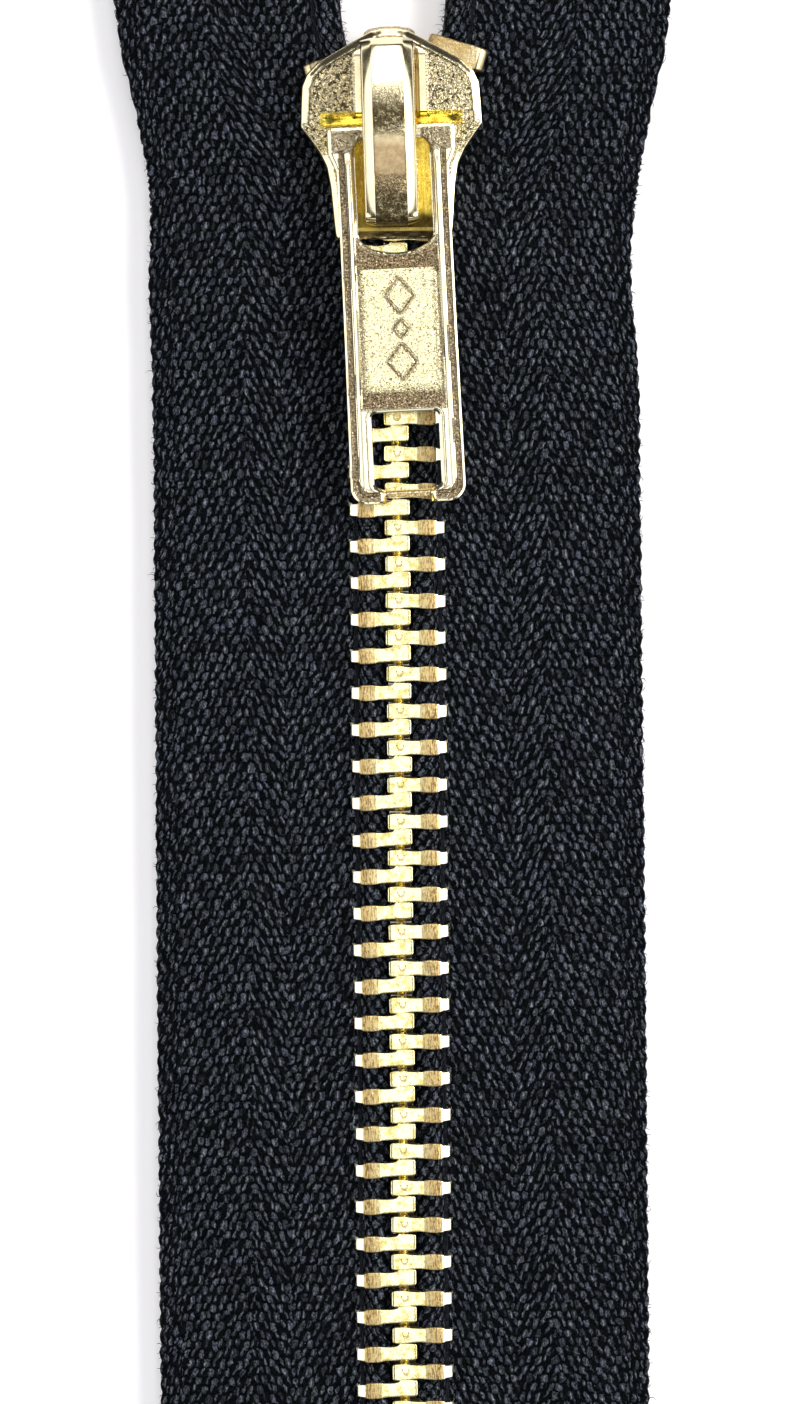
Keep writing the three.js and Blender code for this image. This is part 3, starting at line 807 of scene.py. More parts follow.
# The selvedge: its distance from the chain's centre line (EDGE_X) at each height (EDGE_Y).
EDGE_Y = [-30, 40, 71, 78, 84, 88, 91, 92.7, 94.4, 96, 97.6, 99.3, 100.9, 102.5, 104.2, 126]
EDGE_X = [16.0, 16.0, 15.95, 15.95, 15.85, 15.75, 15.9, 16.1, 16.4, 16.72, 17.05, 17.48,
          17.85, 18.02, 18.25, 20.7]
# name, length, ragged ends, two bodies and a span of y between them (metres), CAD nodes replaced
TAPE_PIECES = [
    ("lower", (-22.0, 50.0), (True, False), ("base", "{}_half"), (0, 0.014), ["tail"]),
    ("upper", (50.0, 93.0), (False, False), ("{}_half", "{}_throat"), (0.0845, 0.0910), ["main"]),
    ("flare", (93.0, 123.4), (False, True), ("{}_throat", "{}_top"), (0.0933, 0.0995),
     ["throat", "end"]),
]


def tape_xy(along, out, sign):
    """The point out from the bead centre, drawn as for the right-hand tape."""
    bead_x, bead_y, angle = bead(along)
    x, y = bead_x + out * np.cos(angle), bead_y - out * np.sin(angle)
    edge_y = bead_y - TAPE_OUT * np.sin(angle)
    dent = sign * 0.34 * np.exp(-(((edge_y - 86.0) / 4.6) ** 2))
    edge_x = np.interp(edge_y, EDGE_Y, EDGE_X) - dent
    shift = edge_x - (bead_x + TAPE_OUT * np.cos(angle))
    return x + shift * np.clip(out / TAPE_OUT, 0, 1) ** 1.4, y


def warp_length(along, out, sign):
    """Length along each point's own warp thread, so that the weave shears in a bend."""
    step_along, step_out = 0.25, 0.5
    grid_along, grid_out = np.arange(-30, 130.01, step_along), np.arange(-1.5, 15.51, step_out)
    x, y = tape_xy(*np.meshgrid(grid_along, grid_out, indexing="ij"), sign)
    steps = np.hypot(np.diff(x, axis=0), np.diff(y, axis=0))
    length = np.vstack([np.zeros((1, len(grid_out))), np.cumsum(steps, axis=0)])
    length += 40.0 - length[int(np.argmin(np.abs(grid_along - 40.0)))]
    a = np.clip((along - grid_along[0]) / step_along, 0, len(grid_along) - 1.001)
    b = np.clip((out - grid_out[0]) / step_out, 0, len(grid_out) - 1.001)
    i, j = a.astype(int), b.astype(int)
    a, b = a - i, b - j
    near = length[i, j] * (1 - a) + length[i + 1, j] * a
    far = length[i, j + 1] * (1 - a) + length[i + 1, j + 1] * a
    return near * (1 - b) + far * b


def tape_profile():
    """The closed section: out, z and distance across the skin; and its points on the front."""
    front = np.concatenate([np.arange(1.0, 13.61, 0.3), [13.8, 13.92]])
    front_z = np.interp(front, [0.9, 1.3, 1.7], [0.25, 0.25, TAPE_HALF])
    profile = [(out, z, out) for out, z in zip(front, front_z)]
    for turn in np.linspace(60, -60, SELVEDGE_POINTS):
        z = TAPE_HALF * math.sin(turn * RAD) / math.sin(75 * RAD)
        profile.append((13.93 + 0.17 * math.cos(turn * RAD), z, 14.0 + 0.2 * (60 - turn) / 120))
    profile += [(a, -z, 2 * TAPE_FOLD - a) for a, z in zip(front[::-1], front_z[::-1])]
    for turn in np.linspace(-22, -338, 22):  # bead, round its inner side
        reach = BEAD_RADIUS if math.cos(turn * RAD) > 0 else 1.23
        skin = -0.2 - BEAD_RADIUS * abs(turn + 22) * RAD * 0.9
        profile.append((reach * math.cos(turn * RAD), BEAD_RADIUS * math.sin(turn * RAD), skin))
    return np.array(profile), len(front)


def add_skin(piece, sign, start, end, ragged):
    """One closed skin, ragged where a cut end asks for it."""
    profile, front_count = tape_profile()
    size = len(profile)
    rows = max(2, int(round((end - start) / 0.26)))
    stations = np.linspace(start, end, rows + 1)
    along, out = np.meshgrid(stations, profile[:, 0], indexing="ij")
    z = np.broadcast_to(profile[:, 1], along.shape).copy()
    across = np.broadcast_to(profile[:, 2], along.shape)
    # the bead narrows into the throat, and the selvedge is scalloped
    out = np.where(out < 0, out * (1 - 0.20 * np.clip((along - 87) / 6, 0, 1)), out)
    scallop = 0.15 * (np.abs(np.cos(np.pi * along / 1.06 + 0.65)) - 0.62)
    scallop = scallop + 0.07 * (value_noise(along * 0.9, along * 0 + 3.3, 5) - 0.5)
    out = out + np.clip((out - 13.0) / 1.1, 0, 1) * scallop
    cut_along = along.copy()
    for cut, is_ragged in zip((start, end), ragged):
        if is_ragged:
            near = np.clip(1 - np.abs(along - cut) / 0.9, 0, 1)
            cut_along += near * 0.35 * (value_noise(out * 2.7 + 11, out * 0 + 7, 9) - 0.5)
    x, y = tape_xy(cut_along, out, sign)
    # gentle waves of the cloth, none where it is crimped
    free = np.clip((out - 2.2) / 4.0, 0, 1)
    long_seed, short_seed = (3, 1) if sign < 0 else (9, 4)
    wave = (value_noise(along / 7.0 + 5, out / 5.0 + long_seed, 21) - 0.5) * 0.22
    wave = wave + (value_noise(along / 2.6, out / 3.1 + short_seed, 22) - 0.5) * 0.09
    z = z + free * wave - np.clip((out - 3) / 11, 0, 1) ** 2 * TAPE_SETTLE
    # the bead's wrapping thread
    on_cord = np.clip(1.1 - np.abs(out) / 0.9, 0, 1) * (out < 0.85)
    swell = 1 + on_cord * 0.035 * np.cos(2 * np.pi * along / 0.56 + across * 3.0)
    z = np.where(on_cord > 0, z * swell, z)
    points = np.stack([sign * x, y, z], -1).reshape(-1, 3)
    across = across + (0 if sign > 0 else LEFT_ACROSS)
    warp = warp_length(along, out, sign)
    loc = np.stack([across, warp, np.full_like(along, sign * 1.0)], -1).reshape(-1, 3)
    order = (0, 3, 2, 1) if sign > 0 else (1, 2, 3, 0)
    faces = np.array(tube_faces(rows + 1, size))[:, order].tolist()
    # end caps: strips across the thickness between matching front and back points
    for base, is_end in ((0, False), (rows * size, True)):
        back = base + front_count + SELVEDGE_POINTS
        for i in range(front_count - 1):
            opposite = back + front_count - 1 - i
            strip = [base + i, base + i + 1, opposite - 1, opposite]
            faces.append(strip if is_end == (sign > 0) else strip[::-1])
    piece.add(points, faces, loc)


def add_fibres(piece, name, sign, start, end):
    """Loose fibres along the selvedge, and along the bead where the two tapes part."""
    draw = np.random.default_rng(len(name) * 13 + int(start) + sign)
    # first place, spacing, out, direction, range of z, stretch, how far the edge lies back
    edges = [
        (start, 0.42, 14.02, 1.0, (-0.22, 0.22), 1.0, TAPE_SETTLE),
        (max(start, 97.5), 0.15, -BEAD_RADIUS * 1.12, -1.0, (-0.5, 0.6), 1.35, 0),
    ]
    faces = tube_faces(4, 3)
    for first, spacing, edge, way, z_range, stretch, settle in edges:
        for along in np.arange(first + 0.2, end - 0.2, spacing):
            along = along + draw.uniform(-0.3, 0.3)
            root_z = draw.uniform(*z_range)
            length = draw.uniform(0.14, 0.42) * (1.5 if draw.random() < 0.12 else 1.0) * stretch
            heading, bend = draw.uniform(-1.1, 1.1), draw.uniform(-1.6, 1.6)
            ring = []
            for reach, width in ((-0.3, 0.028), (0.3, 0.026), (0.65, 0.020), (1.0, 0.006)):
                angle = heading + bend * reach
                x, y = tape_xy(
                    along + length * reach * math.sin(angle),
                    edge + way * length * reach * math.cos(angle), sign,
                )
                x, z = sign * x, root_z + 0.12 * reach * reach - settle
                ring += [
                    (x + width, y, z - width * 0.5),
                    (x - width * 0.7, y + width * 0.8, z - width * 0.5),
                    (x - width * 0.7, y - width * 0.8, z + width),
                ]
            across = 13.3 + (0 if sign > 0 else LEFT_ACROSS)
            piece.add(ring, faces, (across, along + 0.3 * draw.random(), float(sign)))


def tape_piece(name, sign, start, end, ragged):
    """A length of woven tape with its bead."""
    piece = Piece()
    add_skin(piece, sign, start, end, ragged)
    add_fibres(piece, name, sign, start, end)
    obj = piece.build(name)
    edit(obj, fill_holes, face_outwards)
    shade(obj, sharp=60)
    obj.data.materials.append(CLOTH)
    return obj


for side, sign in SIGN.items():
    for part, length, ragged, bodies, (blend_start, blend_end), replaced in TAPE_PIECES:
        obj = tape_piece(f"{side}_tape_{part}", sign, *length, ragged)
        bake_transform(obj)
        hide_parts(*(f"{side}_tape_{node}" for node in replaced))

# ------------------------------------------------------------------ teeth
TOOTH_PITCH = 2.4
FIRST_TOOTH = {"left": 6.0, "right": 6.0 + TOOTH_PITCH / 2}
TEETH_PER_SIDE, TEETH_PER_GROUP = 39, 6
HALF_END, THROAT_END = 90.05, 95.0  # the teeth below these ride the half and the throat
NIB_OUT = -1.86


def tooth_shell(left):
    """The front half of one tooth: out from the bead, up the chain, out of the face."""
    head = 0.16 if left else 0.0  # how far the head is set up the chain
    # out, half width at the face, half width low down, shift up the chain, face height,
    # corner radius, inner face
    stations = [
        (-2.722, 0.38, 0.46, head, 1.08, 0.04, 0.0),
        (-2.705, 0.43, 0.52, head, 1.135, 0.045, 0.0),
        (-2.650, 0.485, 0.57, head, 1.165, 0.045, 0.0),
        (-2.540, 0.515, 0.585, head, 1.175, 0.045, 0.0),
        (-2.300, 0.52, 0.590, head, 1.178, 0.045, 0.0),
        (-1.950, 0.52, 0.590, head, 1.18, 0.045, 0.0),
        (-1.760, 0.515, 0.590, head * 0.95, 1.18, 0.045, 0.0),
        (-1.620, 0.50, 0.590, head * 0.85, 1.18, 0.045, 0.0),
        (-1.480, 0.475, 0.585, head * 0.6, 1.175, 0.045, 0.0),
        (-1.150, 0.445, 0.56, head * 0.3, 1.17, 0.05, 0.0),
        (-0.900, 0.435, 0.47, head * 0.15, 1.165, 0.05, 0.0),
        (-0.620, 0.455, 0.46, 0.02 if left else -0.01, 1.165, 0.06, 0.3),
        (-0.420, 0.490, 0.49, 0.0, 1.17, 0.06, 0.33),
        (-0.200, 0.515, 0.515, 0.0, 1.19, 0.06, 0.33),
        (0.150, 0.525, 0.525, -0.01, 1.20, 0.06, 0.33),
        (0.450, 0.515, 0.515, -0.015, 1.195, 0.06, 0.33),
        (0.640, 0.49, 0.49, -0.02, 1.18, 0.06, 0.33),
        (0.715, 0.46, 0.46, -0.02, 1.135, 0.08, 0.33),
        (0.760, 0.425, 0.425, -0.02, 1.10, 0.07, 0.33),
        (0.900, 0.415, 0.415, -0.015, 1.03, 0.07, 0.34),
        (1.080, 0.405, 0.405, -0.01, 0.93, 0.07, 0.36),
        (1.190, 0.395, 0.395, -0.005, 0.86, 0.07, 0.38),
        (1.225, 0.36, 0.36, 0.0, 0.80, 0.07, 0.42),
    ]
    points = []
    for out, width, low_width, shift, face, radius, inner in stations:
        low, flank = inner + (face - inner) * 0.62, inner + (face - inner) * 0.78
        ring = [(-low_width, inner), (-low_width, low), (-width + shift * 0.5, flank)]
        ring += arc(-width + radius + shift, face - radius, radius, (180, 150, 120, 90))
        ring += [
            (-width + radius + shift + 0.035, face + 0.001),
            (shift, face + 0.006),
            (width - radius + shift - 0.035, face + 0.001),
        ]
        ring += arc(width - radius + shift, face - radius, radius, (90, 60, 30, 0))
        ring += [(width + shift * 0.5, flank), (low_width, low), (low_width, inner)]
        # the head's tip is undercut below the face
        points += [(out + (0.11 if out < -2.6 and z < 0.95 else 0.0), y, z) for y, z in ring]
    points = np.array(points)
    if left:  # the lip raised on the head's upper edge
        lip = 0.10 * np.clip(1 - np.abs(points[:, 0] + 1.62) / 0.13, 0, 1)
        points[:, 1] += lip * (points[:, 1] > 0.3) * (points[:, 2] > 0.7)
    rings, size = len(stations), len(ring)
    return points, tube_faces(rings, size) + end_faces(rings, size)


def tooth_nib(left):
    """The nib that the next tooth's socket drops over, proud of the head's upper edge."""
    top = 0.52 + (0.16 if left else 0.0)
    points = []
    for rise, size in ((-0.06, 1.0), (0.05, 0.85), (0.11, 0.45)):
        for i in range(14):
            turn = i / 14 * 2 * math.pi
            x, z = 0.27 * size * math.cos(turn), 0.50 * size * math.sin(turn)
            points.append((NIB_OUT + x, top + rise, 0.62 + z))
    faces = [[b, a, d, c] for a, b, c, d in tube_faces(3, 14)]
    return np.array(points), faces + [[28 + j for j in range(14)]]


def tooth_burr(z):
    """A small burr left by the cutter at the leg's upper outer corner."""
    tip = z + (0.06 if z > 0 else -0.06)
    points = [(1.10, 0.30, z), (1.24, 0.28, z), (1.22, 0.42, z), (1.06, 0.42, z),
              (1.30, 0.50, tip), (1.17, 0.34, z * 0.8)]
    faces = [[0, 1, 4], [1, 2, 4], [2, 3, 4], [3, 0, 4], [1, 0, 5], [2, 1, 5], [3, 2, 5], [0, 3, 5]]
    return np.array(points), faces


def tooth_parts(side):
    parts = []
    for points, faces in (tooth_shell(side == "left"), tooth_nib(side == "left")):
        parts.append((points, faces))
        parts.append((points * np.array([1, 1, -1]), facing(faces, False)))
    return parts + [tooth_burr(0.86), tooth_burr(-0.86)]


TOOTH_PARTS = {side: tooth_parts(side) for side in SIGN}


def teeth_piece(name, side, positions, body, replaced):
    piece = Piece()
    for along in positions:
        turn, out, up, _ = rng.normal(0, 1, 4)
        chance = rng.random(3)
        for points, faces in TOOTH_PARTS[side]:
            placed = on_bead(points, side, along, 0.010 * turn, 0.018 * out, 0.016 * up)
            piece.add(placed, facing(faces, side == "right"), points, chance)
    obj = piece.build(name)
    edit(obj, face_outwards)
    shade(obj, sharp=48)
    attach(obj, TOOTH[side], body, replaced)


for side in SIGN:
    teeth = [FIRST_TOOTH[side] + TOOTH_PITCH * i for i in range(TEETH_PER_SIDE)]
    half = [along for along in teeth if along <= HALF_END]
    for i in range(0, len(half), TEETH_PER_GROUP):
        number = f"{i // TEETH_PER_GROUP + 1:02d}"
        teeth_piece(f"{side}_brass_teeth_{number}", side, half[i : i + TEETH_PER_GROUP],
                    side + "_half", f"{side}_teeth_{number}")
    throat = [along for along in teeth if HALF_END < along < THROAT_END]
    top = [along for along in teeth if along > THROAT_END]
    for part, positions in (("throat", throat), ("top", top)):
        for i, along in enumerate(positions):
            teeth_piece(f"{side}_{part}_brass_tooth_{i + 1}", side, [along],
                        f"{side}_{part}", f"{side}_{part}_tooth_{i + 1}")

# ------------------------------------------------------------------ stops
STOP_HALF_WIDTH, STOP_HEIGHT = 0.8, 1.25
STOP_IN, STOP_OUT = -1.75, 2.2  # its ends, out from the bead


def top_stop(side, along, brown_darkening):
    """A clamp bent round the bead and crimped: a rounded block with a slot for the tape."""
    # out, height above the nominal, half width above the nominal
    stations = [
        (STOP_IN, -0.42, -0.14), (STOP_IN + 0.04, -0.2, -0.06), (STOP_IN + 0.14, -0.06, -0.01),
        (STOP_IN + 0.34, 0, 0), (STOP_IN + 0.9, 0.015, 0),
        ((STOP_IN + STOP_OUT) / 2, -0.03, -0.02), (STOP_OUT - 0.75, -0.015, -0.01),
        (STOP_OUT - 0.47, -0.01, -0.02), (STOP_OUT - 0.06, -0.27, -0.06),
        (STOP_OUT, -0.42, -0.16),
    ]
    radius = 0.16
    points = []
    for out, rise, widen in stations:
        height, width = STOP_HEIGHT + rise, STOP_HALF_WIDTH + widen
        inner = 0.0 if out < -0.9 else 0.33
        middle, flat_half = (inner + height) / 2, width - radius
        ring = [(-width, inner), (-width, middle)]
        ring += arc(-flat_half, height - radius, radius, (180, 157, 135, 112, 90))
        ring += [(q * flat_half, height + 0.02 * (1 - abs(q))) for q in (-0.5, 0.0, 0.5)]
        ring += arc(flat_half, height - radius, radius, (90, 68, 45, 22, 0))
        ring += [(width, middle), (width, inner)]
        points += [(out, y, z) for y, z in ring]
    points = np.array(points)
    points[:, 2] += 0.02 * (value_noise(points[:, 0] * 2.1 + 4, points[:, 1] * 2.3 + 8, 31) - 0.5)
    rings, size = len(stations), len(ring)
    faces = tube_faces(rings, size) + end_faces(rings, size)
    out, up = points[:, 0], points[:, 1]
    zero = out * 0
    stipple = 0.35 * ease(out, STOP_OUT - 0.5, STOP_OUT - 0.6)
    umber = ease(out, STOP_OUT - 0.45, STOP_OUT - 1.2) * ease(np.abs(up - 0.1), 0.95, 0.5)
    umber = brown_darkening * umber
    umber += 0.9 * brown_darkening * ease(up, STOP_HALF_WIDTH - 0.25, STOP_HALF_WIDTH - 0.1)
    piece = Piece()
    for flip in (1, -1):
        placed = on_bead(points * np.array([1, 1, flip]), side, along)
        piece.add(placed, facing(faces, flip > 0),
                  np.c_[out - STOP_OUT, zero, stipple], np.c_[umber, zero, zero])
    obj = piece.build(side + "_top_stop_clamp")
    edit(obj, face_outwards)
    shade(obj, sharp=50)
    attach(obj, STOP, side + "_top", side + "_top_stop")


def bottom_stop():
    """One wide clamp across both beads, pressed in two shallow waists."""
    x = np.concatenate([
        [-3.3, -3.26, -3.16, -2.95], np.linspace(-2.7, 2.7, 19), [2.95, 3.16, 3.26, 3.3],
    ])
    # height of the face by distance from the centre line
    height = np.interp(np.abs(x), [0, 0.5, 1.9, 2.7, 2.95, 3.16, 3.26, 3.3],
                       [1.30, 1.33, 1.42, 1.40, 1.34, 1.22, 1.06, 0.88])
    y = np.array([0.0, 0.04, 0.12, 0.26, 0.5, 1.2, 1.9, 2.3, 2.7, 3.4, 4.1, 4.34, 4.48, 4.56, 4.6])
    # what is added to it along the chain
    rise = np.interp(y, [0, 0.04, 0.12, 0.26, 0.5, 1.9, 2.3, 2.7, 4.1, 4.34, 4.48, 4.56, 4.6],
                     [-0.34, -0.18, -0.07, -0.02, 0, 0, -0.05, 0, 0, -0.02, -0.07, -0.18, -0.34])
    grid_x, grid_y = np.meshgrid(x, y, indexing="ij")
    grid_z = height[:, None] + rise[None, :]
    columns, rows = grid_x.shape
    faces = []
    for i in range(columns - 1):
        for j in range(rows - 1):
            near, far = i * rows + j, (i + 1) * rows + j
            faces.append([near, far, far + 1, near + 1])
    # walls down to the tape
    rim = [i * rows for i in range(columns)]
    rim += [(columns - 1) * rows + j for j in range(1, rows)]
    rim += [i * rows + rows - 1 for i in range(columns - 2, -1, -1)]
    rim += list(range(rows - 2, 0, -1))
    base, size = columns * rows, len(rim)
    for i in range(size):
        j = (i + 1) % size
        faces.append([rim[i], base + i, base + j, rim[j]])
    faces.append([base + i for i in range(size)][::-1])
    piece = Piece()
    for flip in (1, -1):
        top = np.stack([grid_x, grid_y, grid_z * flip], -1).reshape(-1, 3)
        low = top[rim].copy()
        low[:, 2] = 0.32 * flip
        piece.add(np.vstack([top, low]), facing(faces, flip > 0))
    # the web that joins the two sides between the beads
    web = dense(rounded([(-1.0, 0.12), (1.0, 0.12), (1.0, 4.48), (-1.0, 4.48)], 0.1), 0.6)
    terrace(piece, [(web, -0.5), (web, 0.5)])
    obj = piece.build("bottom_stop_clamp")
    edit(obj, face_outwards)
    shade(obj, sharp=50)
    attach(obj, STOP, "base", "bottom_stop")


top_stop("left", along=99.95, brown_darkening=0.85)
top_stop("right", along=100.9, brown_darkening=0.35)
bottom_stop()

# ------------------------------------------------------------------ slider body
SLIDER_X = -0.15  # the slider's centre line
SLIDER_Y = 95.5  # it is turned about this height
SLEW = 0.9  # degrees it sits turned on the chain
SLIDER_BACK = -2.3
CHANNEL_TOP = 1.36
# Right half of the wing's outline, from the tail to the nose: x, y and corner radius.
WING_POINTS = [
    (3.78, 88.4, 0.35), (3.88, 89.3, 2), (3.98, 90.6, 2), (4.08, 91.9, 2), (4.3, 93.2, 1.2),
    (4.75, 94.15, 1.2), (5.45, 95.15, 0.9), (5.94, 95.8, 0.35), (5.88, 97.2, 3),
    (5.79, 98.5, 0.7), (5.44, 99.3, 0.7), (4.7, 100.05, 0.9), (3.4, 100.8, 1.5),
    (1.95, 101.6, 0.6), (1.2, 102.0, 0.6), (0.5, 102.15, 0.8),
]
WING = mirrored_loop(
    [(x, y) for x, y, _ in WING_POINTS], [radius for *_, radius in WING_POINTS], 0.16, step=10
)
# Right flange: its outer and inner sides, from the tail up (x, y).
FLANGE_OUTER = [
    (3.78, 88.46), (3.86, 89.3), (3.96, 90.6), (4.05, 91.9), (4.26, 93.15), (4.72, 94.05),
    (5.4, 95.1), (5.86, 95.8), (5.82, 97.0), (5.78, 97.9),
]
FLANGE_INNER = [
    (3.36, 88.46), (3.36, 90.4), (3.5, 91.9), (3.72, 93.3), (4.15, 94.5), (4.75, 95.7),
    (5.15, 96.6), (5.3, 97.2), (5.42, 97.85),
]
# Right half of the post between the rows (x, y).
POST_POINTS = [(0.03, 98.9), (0.6, 99.7), (1.25, 100.7), (1.6, 101.4), (1.72, 101.95),
               (1.35, 102.2), (0.6, 102.34)]
POST_RADII = [0, 0.4, 0.4, 0.4, 0.3, 0.5, 0.6]


def wing_height(points):
    """Top of the upper wing: bevelled rim, raised stippled panels, ledge over the shank."""
    x, y = np.abs(points[:, 0]), points[:, 1]
    rim = to_loop(points, WING)
    z = 2.03 + np.clip((rim - 0.08) / 0.46, 0, 1) * 0.265
    panel = np.clip((y - 95.78) / 0.86, 0, 1) * ease(rim, 0.56, 0.70)
    z += panel * (0.09 + 0.19 * ease(x, 5.2, 2.3))
    z -= 0.10 * ease(y, 95.9, 95.6) * ease(rim, 0.56, 0.8)
    # the scribed line inside the bevel
    z -= 0.07 * np.exp(-(((rim - 0.57) / 0.055) ** 2)) * ease(y, 95.6, 96.4)
    # a narrow ridge on each side of the bridge
    ridge = ease(x, 2.50, 2.40) * ease(x, 1.7, 1.8)
    z += 0.10 * ridge * ease(y, 96.2, 96.5) * ease(y, 101.0, 100.4)
    # fillets at the foot of the bridge
    fillet = np.clip((2.55 - x) / 0.85, 0, 1) ** 2.0
    z += 0.85 * fillet * ease(y, 94.15, 93.9) * ease(y, 89.2, 89.7)
    return z


def wing_marks(points):
    x, y = np.abs(points[:, 0]), points[:, 1]
    zero = np.zeros_like(x)
    rim = to_loop(points, WING)
    stipple = ease(rim, 0.48, 0.60) * ease(y, 96.35, 96.65) * ease(x, 2.36, 2.5)
    ledge = np.where(x > 4.4, ease(y, 96.75, 96.6), ease(y, 96.0, 95.8))
    stipple = np.maximum(stipple, 0.9 * ease(rim, 0.40, 0.5) * ledge)
    shoulder = ease(rim, 0.10, 0.16) * ease(x, 4.3, 4.5)
    shoulder = shoulder * ease(y, 96.1, 95.9) * ease(y, 93.3, 93.8)
    stipple = np.maximum(stipple, 0.95 * shoulder)
    # painted reflection of gold: on the ledge and beside the bridge
    gold_reflection = ease(y, 95.70, 95.82) * ease(y, 96.76, 96.62) * ease(x, 4.75, 4.5)
    beside_bridge = ease(x, 2.75, 2.6) * ease(y, 95.0, 94.8) * ease(y, 88.7, 89.0)
    gold_reflection = np.maximum(gold_reflection, beside_bridge)
    # painted shade on the tail end between the sides
    tail = 0.8 * ease(x, 2.75, 2.6) * ease(y, 90.4, 89.7)
    return np.c_[rim, gold_reflection, stipple], np.c_[zero, tail, zero]


def turned(points, degrees, centre_x):
    """The points turned about a line along z through centre_x and SLIDER_Y."""
    cos, sin = math.cos(degrees * RAD), math.sin(degrees * RAD)
    x, y = points[:, 0] - centre_x, points[:, 1] - SLIDER_Y
    return np.c_[centre_x + x * cos - y * sin, SLIDER_Y + x * sin + y * cos, points[:, 2]]


def wing_rings(stations):
    return [(inset(WING, distance) if distance else WING, z) for distance, z in stations]


def add_flange(piece, sign):
    """Lips bent towards each other along one side, open at the tail and the mouths."""
    outline = [(sign * x, y) for x, y in FLANGE_OUTER + FLANGE_INNER[::-1]]
    loop = dense(rounded(outline, 0.1), 0.3)
    inner, lip, root, bevel = inset(loop, 0.07), 0.44, 1.45, 0.07
    terrace(piece, [(inner, lip), (loop, lip + bevel), (loop, root)])
    flat(piece, inner, lip, up=False)
    terrace(piece, [(loop, -root), (loop, -lip - bevel), (inner, -lip)])
    flat(piece, inner, -lip)


def add_post(piece):
    """The diamond that parts the two rows, its rounded nose standing out between the beads."""
    post = mirrored_loop(POST_POINTS, POST_RADII, 0.2)
    # distance in from the outline, z
    stations = [(0.3, -2.12), (0.12, -2.02), (0, -1.8), (0, 1.3), (0.05, 1.55), (0.14, 1.8),
                (0.27, 1.98), (0.36, 2.05)]
    rings = [(inset(post, distance), z) for distance, z in stations]
    terrace(piece, rings, loc=(0, 0, 0.8))
    flat(piece, *rings[-1], loc=(0, 0, 0.8))
    flat(piece, *rings[0], up=False)


def slider_body():
    piece = Piece()
    # distance in from the outline, z
    side = [(0.10, CHANNEL_TOP), (0.02, 1.46), (0, 1.58), (0, 1.88), (0.02, 1.97), (0.05, 2.03)]
    face = inset(WING, 0.10)
    terrace(piece, wing_rings(side) + [(face, wing_height(face))])
    relief(piece, face, wing_height, wing_marks, 0.11)
    flat(piece, face, CHANNEL_TOP, up=False)
    back = [(0.55, 0), (0.38, 0.02), (0.20, 0.10), (0.06, 0.26), (0, 0.45)]
    back = [(distance, SLIDER_BACK + rise) for distance, rise in back]
    rings = wing_rings(back + [(0, -1.52), (0.03, -1.42), (0.10, -1.38)])
    terrace(piece, rings)
    flat(piece, *rings[0], up=False, loc=(0, 0, 0.35))
    flat(piece, *rings[-1])
    for sign in (1, -1):
        add_flange(piece, sign)
    add_post(piece)
    piece.move(lambda points: turned(points + np.array([SLIDER_X, 0, 0]), SLEW, SLIDER_X))
    obj = piece.build("slider_body_casting")
    finish_casting(obj, sharp=40)
    attach(obj, SLIDER, "slider", "slider_body")


slider_body()

# ------------------------------------------------------------------ bridge cap
BRIDGE_X = SLIDER_X - 0.16
BRIDGE_HALF = 1.72
# The cap's outer line from the tail foot over to the nose foot (y, z).
BRIDGE_PATH = [
    (89.2, 2.34), (89.2, 3.3), (89.23, 4.2), (89.40, 4.78), (89.85, 5.17), (91.4, 5.55),
    (93.3, 5.78), (95.2, 5.85), (97.1, 5.80), (98.9, 5.62), (100.3, 5.26), (101.0, 4.76),
    (101.33, 4.1), (101.4, 3.2), (101.42, 2.34),
]
# Right half of its section: x and height relative to the outer line.
BRIDGE_SECTION = [
    (0.0, 0.0), (0.60, 0.0), (1.02, -0.002), (1.065, -0.012), (1.12, -0.045), (1.28, -0.15),
    (1.46, -0.29), (1.61, -0.42), (BRIDGE_HALF - 0.03, -0.50), (BRIDGE_HALF, -0.58),
    (BRIDGE_HALF, -0.74), (BRIDGE_HALF - 0.04, -0.80), (BRIDGE_HALF - 0.28, -0.80),
    (BRIDGE_HALF - 0.32, -0.74), (BRIDGE_HALF - 0.34, -0.58), (BRIDGE_HALF - 0.42, -0.55),
]


def catmull(points, pieces):
    """A Catmull-Rom curve through the points."""
    points = np.asarray(points, float)
    points = np.vstack([2 * points[0] - points[1], points, 2 * points[-1] - points[-2]])
    out = []
    for i in range(1, len(points) - 2):
        a, b, c, d = points[i - 1 : i + 3]
        for t in np.linspace(0, 1, pieces, endpoint=False):
            square, cube = (2 * a - 5 * b + 4 * c - d) * t * t, (3 * b - a - 3 * c + d) * t**3
            out.append(0.5 * (2 * b + (c - a) * t + square + cube))
    out.append(points[-2])
    return np.array(out)


